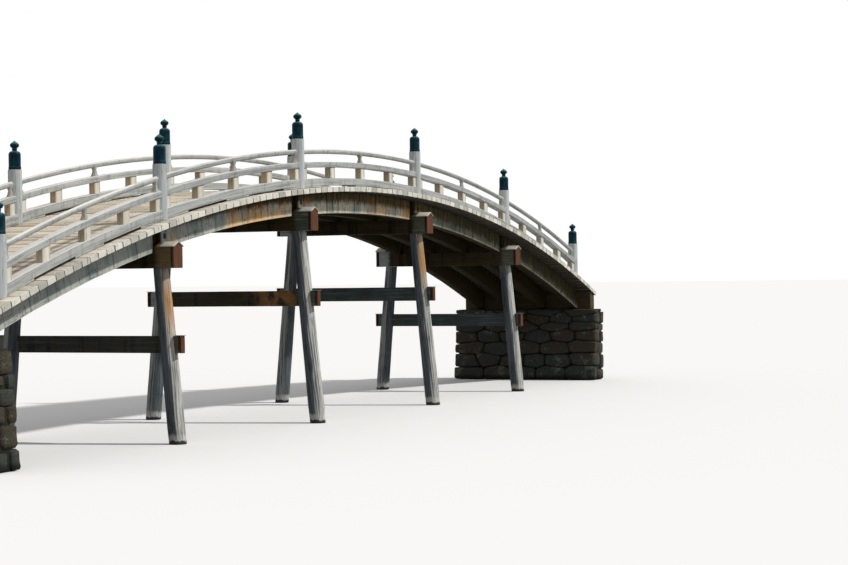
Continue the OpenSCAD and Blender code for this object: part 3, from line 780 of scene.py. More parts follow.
# Domed nail heads in pairs over every girder, all in one mesh.
nails = {"radius": 0.009, "height": 0.003, "sunk": 0.006, "round": 7, "apart": 0.062, "play": (0.008, 0.03)}


def deckNails():
    rng = np.random.default_rng(13)
    t = np.array([0.0, 0.5, 1.0])
    domeR = nails["radius"] * np.sqrt(1 - 0.9 * t * t)
    dome = turned(t * (nails["height"] + nails["sunk"]), domeR, nails["round"])
    outerY = size["girderFaceY"] - size["girderT"] / 2
    playX, playY = nails["play"]
    solids = []
    for k in range(size["boards"]):
        for y in (-outerY, -size["innerGirderY"], size["innerGirderY"], outerY):
            for way in (-1, 1):
                at = boardMiddle(k) + way * nails["apart"] + rng.uniform(-playX, playX)
                aside = y + rng.uniform(-playY, playY)
                solids.append(closeRings(dome, lambda h, a, b: polar(
                    deckR - nails["sunk"] + h, (at + a) / deckR, aside + b), rng))
    piece("deckNails", solids, iron, [], 50)


deckBoards()
deckNails()
print("stage: deck")

# Girders. Rust patches are given by the x of their middles, their reach and their amount.
girders = {
    "edge": 0.010, "clear": 0.0005, "lap": 0.02,
    "long": {"stations": 52, "wear": 0.006, "rough": 0.002, "crackDepth": 0.012, "fall": 0.10},
    "short": {"stations": 6, "wear": 0.003, "rough": 0.001, "fall": 0.10},
    "inner": {"stations": 22, "wear": 0.005, "rough": 0.002, "fall": 0.10},
    "rust": [(-4.9, 0.35, 0.9), (-4.1, 0.6, 1.0), (-3.3, 0.35, 0.8), (-7.0, 0.12, 0.8), (-2.2, 0.2, 0.6),
             (2.35, 0.2, 0.9), (1.0, 0.45, 0.55), (3.1, 0.25, 0.5), (8.2, 0.4, 0.2)],
}
# Bores: how far each is beyond its pier and over the girder's middle, and the lines of its patch.
bores = {"at": [(0.250, 0.0), (0.250, 0.037), (0.282, 0.062), (0.312, 0.090)],
         "depth": 0.032, "patch": 0.100, "lines": (0.0, 0.15, 0.30, 0.445, 0.485, 0.60, 0.80, 1.0)}
boreMiddles = [(float(arcAt(girderMidR, girderMidR, x)) + past, up)
               for x, (past, up) in zip(pierX, bores["at"])]


# Sinks a round bore into a flat face. In a square patch about the bore each point keeps its larger
# coordinate m, and points with m under one half move onto the circle of that radius.
def sinkBore(s, a, b, outward, s0, b0):
    u, v = (s - s0) / bores["patch"], (b - b0) / bores["patch"]
    m = np.maximum(np.abs(u), np.abs(v))
    onFace = (a * outward > size["girderT"] / 2 - 0.012) & (m < 1.001)
    circle = m / np.maximum(np.hypot(u, v), 1e-9)
    k = np.where(onFace, circle + (1 - circle) * ease((m - 0.55) / 0.4), 1.0)
    inside = onFace & (m < 0.46)
    a = np.where(inside, outward * (size["girderT"] / 2 - bores["depth"]), a)
    return s0 + (s - s0) * k, a, b0 + (b - b0) * k, inside


# One girder from x low to x high. Where it meets a beam its end is upright, and elsewhere it is cut square
# to the arch. A bore goes into the outer face.
def girderRun(low, high, y, thick, outer, uprightEnds, rng, bore=None):
    outward = 1 if y > 0 else -1
    rows, lines, holes = None, (), []
    if bore is not None:
        spread = np.array(bores["lines"])
        spread = np.unique(np.concatenate([-spread, spread])) * bores["patch"]
        rows = {0 if outward > 0 else 2: list(bore[1] + spread)}
        lines = bore[0] + spread
    cracks = someCracks(rng, 5, [1, 3], 0.003) if outer else []
    splits = (6, 8) if outer else (3, 3)
    section = rectSection(thick, size["girderH"] - 0.001, girders["edge"], splits, cracks, rows, cornerN=3)
    r = girderMidR + section["b"]
    start, end = (np.where(standing, arcAt(girderMidR, r, x), arcAt(girderMidR, girderR, x))
                  for standing, x in zip(uprightEnds, (low, high)))

    def fit(s, a, b):
        if bore is not None:
            s, a, b, inside = sinkBore(s, a, b, outward, *bore)
            holes.append(inside)
        return s, a, b
    form = girders["long" if outer else "inner" if high - low > 1 else "short"]
    part = bar(section, onArch(girderMidR, y), start + girders["clear"], end - girders["clear"], rng, form,
               fit=fit, lines=lines)
    if holes:
        part["mark"][:-2] = holes[0].ravel()
    if outer:
        for middle, reach, amount in girders["rust"]:
            patch = amount * np.exp(-((part["verts"][:, 0] - middle) / reach) ** 2)
            part["rust"] = np.maximum(part["rust"], patch)
    return part


# Outer girders end at the faces of the beams, and a thinner tongue behind each goes on into the housing.
def girderBars():
    rng = np.random.default_rng(23)
    ends = [-size["endBeamX"]] + pierX + [size["endBeamX"]]
    face, thick = size["beamW"] / 2, size["girderT"]
    tongue = thick - size["rebate"]
    outerY = size["girderFaceY"] - thick / 2
    tongueY = size["girderFaceY"] - size["rebate"] - tongue / 2
    for bay, (x0, x1) in enumerate(zip(ends[:-1], ends[1:])):
        first, last = bay == 0, bay == 4
        low, high = x0 + (0 if first else face), x1 - (0 if last else face)
        bore = None if first else boreMiddles[bay - 1]
        runs = [(low, high, outerY, thick, True, (True, True))]
        if not first:
            runs.append((x0, low + girders["lap"], tongueY, tongue, False, (False, True)))
        if not last:
            runs.append((high - girders["lap"], x1, tongueY, tongue, False, (True, False)))
        runs.append((x0, x1, size["innerGirderY"], thick, False, (first, last)))
        solids = [girderRun(a, b, side * y, wide, outer, standing, rng, bore if outer else None)
                  for side in (-1, 1) for a, b, y, wide, outer, standing in runs]
        piece(f"girders{bay + 1}", solids, wood["girders"], [f"bay_{bay + 1}_girders"])


girderBars()
print("stage: girders")

# Bolts: washer and six-sided nut in every bore, and small pins low on the faces, given by their places
# along the arch and over the girder's middle.
bolts = {"washerR": 0.036, "washerT": 0.004, "nutR": 0.021, "nutT": 0.016, "pinR": 0.016, "pinT": 0.006,
         "pins": [(-6.653, -0.125), (-4.573, -0.125), (4.573, -0.125), (6.653, -0.125)],
         "form": {"stations": 2, "wear": 0.0, "rough": 0.0, "bevel": 0.0015}}


def boltHeads():
    rng = np.random.default_rng(101)
    disc, nut = roundSection(1.0, 18), roundSection(1.0, 6)
    face = size["girderFaceY"]
    seat = face - bores["depth"] - 0.001
    top = seat + bolts["washerT"]
    solids = []

    def head(section, at, up, side, low, high, radius):
        def place(s, a, b):
            return polar(girderMidR + up + b, (at + a) / girderMidR, side * s)
        solids.append(bar(section, place, low, high, rng, bolts["form"], lambda t: 0 * t + radius))
    for side in (-1, 1):
        for at, up in boreMiddles:
            head(disc, at, up, side, seat, top, bolts["washerR"])
            head(nut, at, up, side, top - 0.001, top + bolts["nutT"], bolts["nutR"])
        for at, up in bolts["pins"]:
            head(disc, at, up, side, face - 0.006, face + bolts["pinT"], bolts["pinR"])
    piece("boltHeads", solids, iron, [], 30)


boltHeads()
print("stage: bolts")

# Piers. Stains are given by pier and side, with their height, reach and amount. The pale side of a
# column, partly bleached and partly painted light, looks the way open, on the far side of the bridge, and
# the opposite way on the near side.
piers = {"round": 56, "columnForm": {"stations": 46, "wear": 0.0, "rough": 0.004, "crackDepth": 0.022},
         "checks": 7, "checkWidth": 0.030, "endSwell": 0.006, "bend": 0.004,
         "beamForm": {"stations": 40, "wear": 0.006, "rough": 0.002, "crackDepth": 0.014},
         "tieForm": {"stations": 44, "wear": 0.004, "rough": 0.0015}, "tieBlue": (0.5, 0.15, 0.9, 1.0),
         "tieRust": (2, -1.0, 0.45, 0.9),           # pier, y of its middle, reach and amount
         "stains": {(1, -1): (2.35, 0.45, 1.0), (3, -1): (3.05, 0.5, 1.1)},
         "open": (-0.42, 0.91)}
topBand = 0.012     # points this near the top of a bar belong to its upper face


def columnLogs():
    rng = np.random.default_rng(31)
    lean = math.atan(size["lean"])
    for number, x in enumerate(pierX, 1):
        topZ = capBeamZ(x)
        length = topZ / math.cos(lean)
        solids = []
        for side in (-1, 1):
            section = roundSection(1.0, piers["round"], someChecks(rng, piers))
            twist, phase = rng.uniform(-0.5, 0.5), rng.uniform(0, 9)

            def radius(t):
                body = size["columnTopR"] + (size["columnFootR"] - size["columnTopR"]) * t
                return body - piers["endSwell"] * ease(1 - (1 - t) * length / 0.35)

            # The log leans outward, its checks wind slowly round it, and it is cut level at both ends.
            def place(s, a, b):
                turn = twist * s / length
                ca = a * np.cos(turn) - b * np.sin(turn) + piers["bend"] * np.sin(phase + 3.0 * s / length)
                cb = a * np.sin(turn) + b * np.cos(turn)
                z = topZ - s * math.cos(lean) + cb * side * math.sin(lean)
                return x + ca, side * (size["columnY"] + s * math.sin(lean)) + cb * math.cos(lean), z

            def fit(s, a, b):
                turn = twist * s / length
                return s + (a * np.sin(turn) + b * np.cos(turn)) * side * math.tan(lean), a, b
            part = bar(section, place, 0.0, length, rng, piers["columnForm"], radius, fit)
            v = part["verts"]
            v[:, 2] = np.clip(v[:, 2], 0.0, topZ)
            centreY = side * (size["columnY"] + (topZ - v[:, 2]) * size["lean"])
            facing = side * ((v[:, 1] - centreY) * piers["open"][1] + (v[:, 0] - x) * piers["open"][0])
            part["mark"] = np.clip(0.45 + 0.75 * facing / size["columnFootR"], -0.2, 1.2)
            if (number, side) in piers["stains"]:
                height, reach, amount = piers["stains"][number, side]
                openSide = ease(0.35 + 1.1 * facing / size["columnTopR"])
                part["rust"] = amount * openSide * np.exp(-((v[:, 2] - height) / reach) ** 2)
            solids.append(part)
        piece(f"pierColumns{number}", solids, wood["columns"], [f"pier_{number}_columns"])


# Cap beams have a ridge outside the girders. Between them the top is let down under their housings.
def beams():
    rng = np.random.default_rng(37)
    w, h, ridge, half = size["beamW"], size["beamH"], size["beamRidge"], size["beamHalf"]
    for number, x in enumerate(pierX, 1):
        baseZ = capBeamZ(x)
        section = rectSection(w, h, 0.008, (4, 6), someCracks(rng, 7, [0, 2], 0.003))
        part = bar(section, across(x, baseZ + h / 2), -half, half, rng, piers["beamForm"])
        v = part["verts"]
        outside = ease((np.abs(v[:, 1]) - size["girderFaceY"] + size["rebate"]) / 0.02)
        isTop = v[:, 2] > baseZ + h - topBand
        v[:, 2] += np.where(isTop, outside * (w / 2 - np.abs(v[:, 0] - x)) * ridge / (w / 2), 0)
        housed = np.minimum(v[:, 2], layerZ(girderR, v[:, 0]) - 0.001)
        v[:, 2] = np.where(isTop & (outside <= 0), housed, v[:, 2])
        piece(f"capBeam{number}", [part], wood["beams"], [f"pier_{number}_cap_beam"])
        tie = rectSection(size["tieT"], size["tieH"], 0.006, (2, 5), someCracks(rng, 5, [0, 2], 0.002))
        tieZ = baseZ - size["tieDrop"] - size["tieH"] / 2
        part = bar(tie, across(x, tieZ), -tieEndY, tieEndY, rng, piers["tieForm"])
        pier, middle, reach, amount = piers["tieRust"]
        if number == pier:
            part["rust"] = amount * np.exp(-((part["verts"][:, 1] - middle) / reach) ** 2)
        part["mark"][:] = piers["tieBlue"][number - 1]
        piece(f"tieBeam{number}", [part], wood["beams"], [f"pier_{number}_tie_beam"])


shields = {"gap": 0.040, "thick": 0.030, "lap": 0.010, "coverT": 0.018, "coverLap": 0.022, "coverLen": 0.278,
           "tieCoverH": 0.065, "board": {"stations": 3, "bevel": 0.003},
           "packing": {"stations": 2, "bevel": 0.001},
           "cover": {"stations": 6, "wear": 0.002, "bevel": 0.002}}


# Board and packing block in front of one beam end, with its foot at z.
def endBoard(x, z, w, h, low, side, ridge, rng):
    section = rectSection(w + 2 * shields["lap"], h, 0.004, (4, 5))
    place = across(x, z + h / 2)
    board = bar(section, place, side * low, side * (low + shields["thick"]), rng, shields["board"])
    v = board["verts"]
    v[:, 2] += np.where(v[:, 2] > z + h - topBand, (w / 2 - np.abs(v[:, 0] - x)) * ridge / (w / 2), 0)
    block = rectSection(w * 0.55, h * 0.6, 0.003, (2, 2))
    packing = bar(block, place, side * (low - shields["gap"]), side * low, rng, shields["packing"])
    return [standGrain(board), packing]


# Boards in front of the beam ends and the ridged covers over them: two sloping boards on a cap beam, and
# one with a ridge on a tie beam.
def shieldBoards():
    rng = np.random.default_rng(41)
    capBoards, capCovers, tieBoards, tieCovers = [], [], [], []
    w, h, ridge = size["beamW"], size["beamH"], size["beamRidge"]
    slope = ridge / (w / 2)
    half = w / 2 + shields["coverLap"]
    tieHalf = size["tieT"] / 2 + shields["coverLap"]
    past = shields["gap"] + shields["thick"] + shields["coverT"]
    end = size["beamHalf"] + past
    for x in pierX:
        baseZ = capBeamZ(x)
        tieZ = baseZ - size["tieDrop"] - size["tieH"]
        tieTop = tieZ + size["tieH"]
        for side in (-1, 1):
            capBoards += endBoard(x, baseZ, w, h, size["beamHalf"] + shields["gap"], side, ridge, rng)
            for wing in (-1, 1):
                def place(s, a, b):
                    out = a + half / 2
                    return x + wing * out, s, baseZ + h + ridge + shields["coverT"] / 2 + b - slope * out
                section = rectSection(half, shields["coverT"], 0.003, (3, 1))
                capCovers.append(bar(section, place, side * (end - shields["coverLen"]), side * end, rng,
                                     shields["cover"]))
            tieBoards += endBoard(x, tieZ, size["tieT"], size["tieH"], tieEndY + shields["gap"], side, 0.0,
                                  rng)
            section = rectSection(2 * tieHalf, 0.02, 0.003, (4, 1))
            cover = bar(section, across(x, tieTop + 0.01), side * (tieEndY - size["tiePast"]),
                        side * (tieEndY + past), rng, shields["cover"])
            v = cover["verts"]
            peak = tieTop + 0.004 + (1 - np.abs(v[:, 0] - x) / tieHalf) * (shields["tieCoverH"] - 0.006)
            v[:, 2] = np.where(v[:, 2] > tieTop + topBand, peak, v[:, 2])
            tieCovers.append(cover)
    for beam, boards, covers in (("cap", capBoards, capCovers), ("tie", tieBoards, tieCovers)):
        piece(beam + "BeamEndBoards", boards, wood["boards"], [beam + "_beam_end_boards"])
        piece(beam + "BeamEndCovers", covers, wood["covers"], [beam + "_beam_end_covers"])


columnLogs()
beams()
shieldBoards()
print("stage: piers")

# Posts and finials.
posts = {"round": 40, "checks": 4, "checkWidth": 0.021,
         "form": {"stations": 9, "wear": 0.0, "crackDepth": 0.012, "bevel": 0.003}}
finial = {"sleeveR": 0.105, "sleeveH": 0.262, "bandH": 0.050, "bandT": 0.004, "shoulderH": 0.062,
          "neckR": 0.043, "neckH": 0.042, "bulbR": 0.080, "bulbBelly": 0.058, "bulbH": 0.142,
          "pointAngle": 45, "round": 48}


# Outline of a finial as heights and radii, from the foot up: banded sleeve, round shoulder, waisted neck
# with a lip, and an onion bulb. The bulb is two half ellipses and a hollow point that leaves the upper one
# on its tangent.
def finialOutline():
    f = finial
    neck, sleeve, shoulder = f["neckR"], f["sleeveR"], f["sleeveH"]
    band = sleeve + f["bandT"]
    outline = [(0.0, 0.002), (0.0, band - 0.003), (0.003, band), (0.040, band), (0.043, band - 0.002),
               (0.0445, band + 0.001), (0.048, band + 0.001), (f["bandH"], band - 0.001),
               (f["bandH"] + 0.001, sleeve), (0.150, sleeve + 0.0005), (shoulder - 0.012, sleeve),
               (shoulder - 0.009, sleeve + 0.001), (shoulder - 0.003, sleeve + 0.001)]

    def curve(degrees, middle, rise, radius, spread):
        turns = np.radians(degrees)
        outline.extend(zip(middle + np.where(turns < 0, rise[0], rise[1]) * np.sin(turns),
                           radius + spread * np.cos(turns)))
    curve(np.arange(0, 91, 9), shoulder, (0, f["shoulderH"]), neck, sleeve - neck)
    neckZ = shoulder + f["shoulderH"]
    bulbZ = neckZ + f["neckH"]
    lip = f["neckH"] * 0.16
    outline += [(neckZ + f["neckH"] * 0.3, neck - 0.002), (neckZ + f["neckH"] * 0.6, neck - 0.001)]
    curve(np.arange(-75, 76, 25), bulbZ - lip, (lip, lip), neck, lip)
    belly = f["bulbBelly"]
    crown = (f["bulbH"] - belly) * 0.66
    curve(np.arange(-60, f["pointAngle"] + 1, 7.5), bulbZ + belly, (belly, crown), 0, f["bulbR"])
    z0, r0 = outline[-1][0] - bulbZ, outline[-1][1]
    angle = math.radians(f["pointAngle"])
    meetZ = z0 + crown * math.cos(angle) ** 2 / math.sin(angle)
    t = np.linspace(0.12, 0.96, 8)
    rise = (1 - t) ** 2 * z0 + 2 * t * (1 - t) * meetZ + t * t * (f["bulbH"] - 0.0005)
    outline += list(zip(bulbZ + rise, r0 * (1 - t) ** 2))
    return np.array(outline)


def postsAndFinials():
    rng = np.random.default_rng(53)
    heights, radii = finialOutline().T
    for side, name in sides:
        shafts, caps = [], []
        for x in postX:
            section = roundSection(size["postD"] / 2, posts["round"], someChecks(rng, posts))
            top = float(layerZ(deckR, x)) + size["postH"]
            place = upright(x, side * size["postY"])
            shafts.append(bar(section, place, layerZ(deckR, x + section["a"]), top, rng, posts["form"]))
            caps.append(closeRings(turned(top + heights, radii, finial["round"]), place, rng))
        piece(name + "Posts", shafts, wood["posts"], [name + "_posts"])
        piece(name + "Finials", caps, bronze, [name + "_finials"], 50)


postsAndFinials()
print("stage: posts and finials")

# Rails.
rails = {"edge": 0.007, "handRound": 28, "clear": 0.0008, "slotFromPost": 0.750, "slotFromMiddle": 0.400,
         "sill": {"stations": 44, "wear": 0.006, "rough": 0.0015, "bevel": 0.002},
         "sillFoot": {"stations": 6, "wear": 0.002, "bevel": 0.002},
         "flat": {"stations": 40, "wear": 0.005, "rough": 0.0015, "crackDepth": 0.009, "bevel": 0.002},
         "hand": {"stations": 44, "wear": 0.0, "rough": 0.0015, "crackDepth": 0.006, "bevel": 0.002}}


# Distance from the middle of a round post to its side, for points at a across from its middle.
def besidePost(a):
    return np.sqrt(np.maximum((size["postD"] / 2) ** 2 - a * a, 0)) + rails["clear"]


# Sills on feet with drain slots between them, flat rails and round handrails, all cut to fit the posts.
def parapets():
    rng = np.random.default_rng(67)
    socket = size["postD"] * 0.35 + 0.001
    for side, name in sides:
        y = side * size["postY"]
        sills, flats, hands = [], [], []

        def railBar(section, r0, low, high, form, atLow=True, atHigh=True):
            r = r0 + section["b"]
            startX = low + besidePost(section["a"]) if atLow else low
            endX = high - besidePost(section["a"]) if atHigh else high
            return bar(section, onArch(r0, y), arcAt(r0, r, startX), arcAt(r0, r, endX), rng, form)
        for x0, x1 in zip(postX[:-1], postX[1:]):
            middle = (x0 + x1) / 2
            sill = rectSection(size["sillW"], size["sillH"], rails["edge"], (4, 3),
                               someCracks(rng, 5, [0, 1, 2], 0.002), cornerN=3)
            sills.append(railBar(sill, sillTopR - size["sillH"] / 2, x0, x1, rails["sill"]))
            foot = rectSection(size["sillW"] - 0.006, size["slotH"], 0.003, (3, 1))
            for low, high in ((x0, x0 + rails["slotFromPost"]),
                              (middle - rails["slotFromMiddle"], middle + rails["slotFromMiddle"]),
                              (x1 - rails["slotFromPost"], x1)):
                sills.append(railBar(foot, deckR + size["slotH"] / 2, low, high, rails["sillFoot"],
                                     low == x0, high == x1))
            flat = rectSection(size["flatW"], size["flatH"], 0.012, (4, 3),
                               someCracks(rng, 4, [0, 1, 2], 0.002), cornerN=3)
            flats.append(railBar(flat, (flatLowR + flatTopR) / 2, x0, x1, rails["flat"]))
            hand = roundSection(size["topD"] / 2, rails["handRound"],
                                [(float(p), 0.04) for p in rng.uniform(0.3, 5.9, 3)])
            hands.append(bar(hand, onArch(topRailR, y), arcAt(topRailR, topRailR, x0) + socket,
                             arcAt(topRailR, topRailR, x1) - socket, rng, rails["hand"]))
        piece(name + "Sills", sills, wood["rails"], [name + "_sills"])
        piece(name + "FlatRails", flats, wood["rails"], [name + "_flat_rails"])
        piece(name + "Handrails", hands, wood["rails"], [name + "_handrails"])


struts = {"blockX": 0.210, "blockY": 0.126, "strutX": 0.190, "halfX": 0.240, "foot": 0.124, "waist": 0.070,
          "cup": 0.092, "waistAt": 0.6, "rimHalf": 0.044, "topShare": 0.86,
          "block": {"stations": 5, "wear": 0.004, "crackDepth": 0.006, "bevel": 0.002},
          "upper": {"stations": 16, "wear": 0.03, "rough": 0.0, "bevel": 0.002}}


# Half width of a waisted strut at the share t of its height: a foot that narrows as a parabola, then a
# quarter sine out to the cup.
def strutHalf(t):
    waist, at = struts["waist"] / 2, struts["waistAt"]
    foot = waist + (struts["foot"] / 2 - waist) * np.square(1 - np.clip(t / at, 0, 1))
    cup = waist + (struts["cup"] / 2 - waist) * np.sin(np.radians(np.clip((t - at) * 600, 0, 90)))
    return np.where(t < at, foot, cup)


# Keeps the points of a block or strut at x clear of the round post beside it.
def scribed(x, a, b, post):
    if post is None:
        return a
    way = 1 if x > post else -1
    return way * np.maximum(way * (x + a - post), besidePost(b)) + post - x


# Block between sill and flat rail. Its sides that face along the bridge are marked for the tan coat, partly
# own colour and partly painted shade.
def lowerBlock(x, y, wide, post, rng):
    cracks = someCracks(rng, 2, [0, 1, 2, 3], 0.0015)
    section = rectSection(wide, struts["blockY"], 0.006, (4, 3), cracks)
    section["a"] = scribed(x, section["a"], section["b"], post)
    foot, top = layerZ(sillTopR, x + section["a"]), layerZ(flatLowR, x + section["a"])
    part = bar(section, upright(x, y), foot, top, rng, struts["block"])
    part["mark"] = ease((np.abs(part["local"][:, 1]) - wide / 2 + 0.012) / 0.010)
    part["rust"] = 1 - part["mark"]
    return part


# Waisted strut from the flat rail up to the round handrail, which lies in its cup.
def upperStrut(x, y, post, rng):
    section = rectSection(2.0, 2.0, 0.16, (3, 3))
    slant = math.sqrt(1 + x * x / (topRailR ** 2 - x * x))

    def fit(s, a, b):
        a = scribed(x, a, b, post)
        low = layerZ(flatTopR, x + a)
        drop = np.sqrt((size["topD"] / 2) ** 2 - np.minimum(np.abs(b), struts["rimHalf"]) ** 2)
        return low + (layerZ(topRailR, x + a) - drop * slant - low) * s, a, b
    part = bar(section, upright(x, y), 0.0, 1.0, rng, struts["upper"],
               lambda t: strutHalf(t * struts["topShare"]), fit)
    # Its sides along the bridge take the tan coat, partly painted shade.
    part["mark"] = 0.7 * ease((np.abs(part["local"][:, 1]) - 0.85 * np.abs(part["local"][:, 2])) / 0.01)
    return standGrain(part)


def blocksAndStruts():
    rng = np.random.default_rng(71)
    reach = struts["halfX"] - struts["strutX"] / 2
    for side, name in sides:
        y = side * size["postY"]
        blocks, uprights = [], []
        for x0, x1 in zip(postX[:-1], postX[1:]):
            for share in (0.25, 0.75):
                blocks.append(lowerBlock(x0 + share * (x1 - x0), y, struts["blockX"], None, rng))
            for x, post in (((x0 + x1) / 2, None), (x0 + reach, x0), (x1 - reach, x1)):
                uprights += [lowerBlock(x, y, struts["strutX"], post, rng), upperStrut(x, y, post, rng)]
        piece(name + "RailBlocks", blocks, wood["rails"], [name + "_rail_blocks"])
        piece(name + "RailStruts", uprights, wood["rails"], [name + "_rail_struts"])


parapets()
blocksAndStruts()
print("stage: parapets")

# Abutments. Split is the middle of the wall, and the stones of each course pass it by bond. Rows give the
# height of the stones' middles, their number and their play.
walls = {"footX": 12.150, "topX": 12.350, "rearX": 12.950, "half": 1.950, "joint": 0.006, "wide": 2.3,
         "top": float(layerZ(girderR, size["endBeamX"])), "round": 32,
         "rings": (18, 45, 62, 73, 80, 85, 88, 89.6), "sharpness": 14, "boxy": 0.32, "thick": 0.8,
         "bulge": 0.036, "chip": 0.014, "split": 0.5, "bond": 0.14,
         "rows": [(0.17, 5, 0.05), (0.50, 6, 0.06), (0.82, 5, 0.05), (1.11, 6, 0.04), (1.36, 5, 0.02),
                  (1.56, 6, 0.012), (1.715, 4, 0.0)],
         "core": 0.12, "coreForm": {"stations": 4, "wear": 0.0, "rough": 0.0}}


# One stone of the wall. Its outline is the smooth least distance, in each direction, to the lines halfway
# to the other stones and to the wall's edges. The outline is carried through the wall and closes over
# rounded ends. Distances are taken with heights stretched by "wide", which makes the stones long and low.
def wallStone(middles, own, near, far, side, rng):
    k, top, half = walls["wide"], walls["top"], walls["half"]
    u, w = middles[own]
    others = (np.delete(middles, own, 0) - (u, w)) * (1, k)
    reach = np.concatenate([np.hypot(*others.T) / 2, [half - u, half + u, w * k, (top - w) * k]])
    toward = np.concatenate([np.arctan2(others[:, 1], others[:, 0]), [0, math.pi, -math.pi / 2, math.pi / 2]])
    angle = np.arange(walls["round"]) * 2 * math.pi / walls["round"]
    facing = np.maximum(np.cos(angle[:, None] - toward), 0) / (reach - walls["joint"])
    outline = (facing ** walls["sharpness"]).sum(1) ** (-1 / walls["sharpness"])
    phi = np.radians([-v for v in walls["rings"][::-1]] + list(walls["rings"]))
    inward = (np.cos(phi) ** walls["boxy"])[:, None]
    depth = np.sign(np.sin(phi)) * np.abs(np.sin(phi)) ** walls["boxy"]
    d = (near + far) / 2 + (far - near) / 2 * depth[:, None] + 0 * outline
    seed = newSeed(rng)
    y = u + outline * np.cos(angle) * inward
    z = w + outline * np.sin(angle) * inward / k
    lump = latticeNoise(np.stack([y * 5, z * 6, d * 4 + own], -1), seed)
    y = y + 0.012 * lump
    z = z + 0.010 * latticeNoise(np.stack([y * 6 + 9, z * 5, d * 4], -1), seed + 3)
    broad = latticeNoise(np.stack([y * 2.2, z * 2.6, d * 0], -1), seed + 5)
    chip = np.abs(latticeNoise(np.stack([y * 10, z * 12, d * 6], -1), seed + 7))
    relief = walls["bulge"] * (0.5 + 0.3 * lump + 0.2 * broad) + walls["chip"] * chip
    d = d - np.sign(depth)[:, None] * relief / walls["thick"]

    def place(d, y, z):
        front = walls["footX"] + (walls["topX"] - walls["footX"]) * z / top
        x = np.clip(front + (walls["rearX"] - front) * d, front, walls["rearX"])
        return side * x, np.clip(y, -half, half), np.clip(z, 0, top)
    part = closeRings(np.stack([d, y, z], -1), place, rng)
    edge = 1 - np.abs(np.sin(phi))[:, None] ** 0.5 + 0 * outline
    # Mark is high on the sides toward the joints, for moss and painted shade there.
    part["mark"][:-2] = (ease(edge * 1.3) * 0.85).ravel()
    return part


# Front and rear half of a wall, of separate stones, and a core painted dark as shade that shows in the
# joints.
def abutment(side, name, nodeName, seed):
    rng = np.random.default_rng(seed)
    split, half, rearX, topX = walls["split"], walls["half"], walls["rearX"], walls["topX"]
    solids = []
    for front in (True, False):
        middles, splits = [], []
        for course, (height, number, play) in enumerate(walls["rows"]):
            at = (np.arange(number) + 0.5 + rng.uniform(-0.16, 0.16, number)) / number
            middles += [(2 * half * (v - 0.5), height + rng.uniform(-play, play)) for v in at]
            splits += [split + (walls["bond"] if course % 2 else -walls["bond"])] * number
        for own, at in enumerate(splits):
            near, far = (0.0, at) if front else (at, 1.0)
            solids.append(wallStone(np.array(middles), own, near, far, side, rng))
    core = rectSection(rearX - topX - walls["core"], 2 * half - walls["core"], 0.02, (2, 4))
    place = upright(side * (rearX + topX) / 2, 0.0)
    part = bar(core, place, 0.0, walls["top"] - 0.001, rng, walls["coreForm"])
    # The core is painted dark as shade in the joints.
    part["mark"][:] = 1.0
    piece(name, solids + [part], stone, [nodeName], 50)


endBeam = {"edge": 0.008, "form": {"stations": 24, "wear": 0.005, "rough": 0.002}}


def endBeams():
    rng = np.random.default_rng(97)
    low, w, half = walls["top"], size["beamW"], size["beamHalf"]
    h = float(layerZ(size["soffitR"], size["endBeamX"])) - low
    solids = []
    for side in (-1, 1):
        section = rectSection(w, h, endBeam["edge"], (3, 4))
        place = across(side * (size["endBeamX"] + w / 2), low + h / 2)
        part = bar(section, place, -half, half, rng, endBeam["form"])
        v = part["verts"]
        v[:, 2] = np.minimum(v[:, 2], layerZ(size["soffitR"], v[:, 0]) - 0.001)
        solids.append(part)
    piece("endBeams", solids, wood["endBeams"], ["end_beams"])


abutment(-1, "leftAbutment", "left_abutment", 83)
abutment(1, "rightAbutment", "right_abutment", 89)
endBeams()
print("stage: abutments")

# Stage, light and camera.
studio = {"floorHalf": 350.0, "floorZ": -0.004, "floorSeen": 0.93, "floorBounce": 0.26, "world": 0.46,
          "sun": 2.6, "sunAngle": 3.0, "sunTurn": -75.0, "sunRise": 43.0, "sunColour": (1.0, 0.975, 0.94)}
view = {"lens": 88.28, "sensor": 36.0, "place": (-37.3065, -19.9744, 2.8417), "yaw": 24.667,
        "pitch": -0.340, "roll": -0.791}


# 1 for rays from the camera and for those seen in gloss or glass, 0 for light that falls on the bridge.
def seenRay():
    path = node("ShaderNodeLightPath").outputs
    seen = maths("MAXIMUM", path["Is Camera Ray"], path["Is Glossy Ray"])
    return maths("MAXIMUM", seen, path["Is Transmission Ray"])


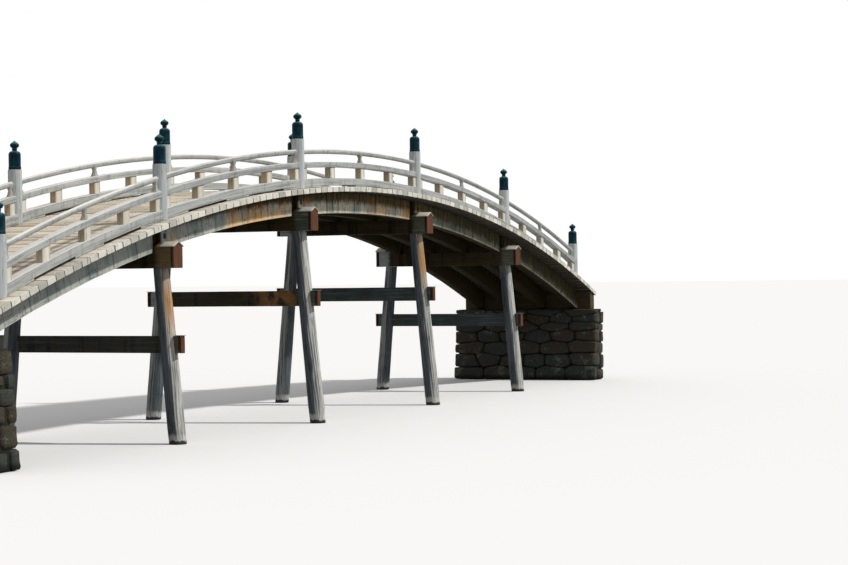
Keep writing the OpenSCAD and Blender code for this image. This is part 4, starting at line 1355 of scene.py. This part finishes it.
def heading(turn, rise):
    return Vector((math.cos(rise) * math.cos(turn), math.cos(rise) * math.sin(turn), math.sin(rise)))


# A pale floor and a white surrounding that throw less light on the bridge than they show, and a sun.
def stageAndLight():
    h, z = studio["floorHalf"], studio["floorZ"]
    mesh = bpy.data.meshes.new("floor")
    mesh.from_pydata([(-h, -h, z), (h, -h, z), (h, h, z), (-h, h, z)], [], [(0, 1, 2, 3)])
    mesh.materials.append(newMaterial("floorPale"))
    greys = [(studio[key],) * 3 for key in ("floorBounce", "floorSeen")]
    shader({"Base Color": blend(seenRay(), *greys), "Roughness": 1.0, "Specular IOR Level": 0.0})
    newObject("floor", mesh)
    world = bpy.data.worlds.new("studio")
    openGraph(world)
    light, seen = (node("ShaderNodeBackground", {"Color": (1, 1, 1), "Strength": strength}).outputs[0]
                   for strength in (studio["world"], 1.0))
    mix = node("ShaderNodeMixShader", {0: seenRay(), 1: light, 2: seen})
    node("ShaderNodeOutputWorld", {0: mix.outputs[0]})
    bpy.context.scene.world = world
    sun = bpy.data.lights.new("sun", "SUN")
    sun.energy = studio["sun"]
    sun.angle = math.radians(studio["sunAngle"])
    sun.color = studio["sunColour"]
    toward = heading(math.radians(studio["sunTurn"]), math.radians(studio["sunRise"]))
    newObject("sun", sun).rotation_euler = toward.to_track_quat("Z", "Y").to_euler()


def placeCamera():
    yaw, pitch, roll = (math.radians(view[key]) for key in ("yaw", "pitch", "roll"))
    forward = heading(yaw, pitch)
    right = forward.cross(Vector((0, 0, 1))).normalized()
    up = right.cross(forward)
    right, up = right * math.cos(roll) + up * math.sin(roll), up * math.cos(roll) - right * math.sin(roll)
    data = bpy.data.cameras.new("camera")
    data.lens = view["lens"]
    data.sensor_width = view["sensor"]
    data.clip_end = 2000
    camera = newObject("camera", data)
    matrix = Matrix((right, up, -forward)).transposed().to_4x4()
    matrix.translation = Vector(view["place"])
    camera.matrix_world = matrix
    bpy.context.scene.camera = camera


stageAndLight()
placeCamera()
bpy.context.scene.view_settings.view_transform = "Standard"
print("stage: light and camera")
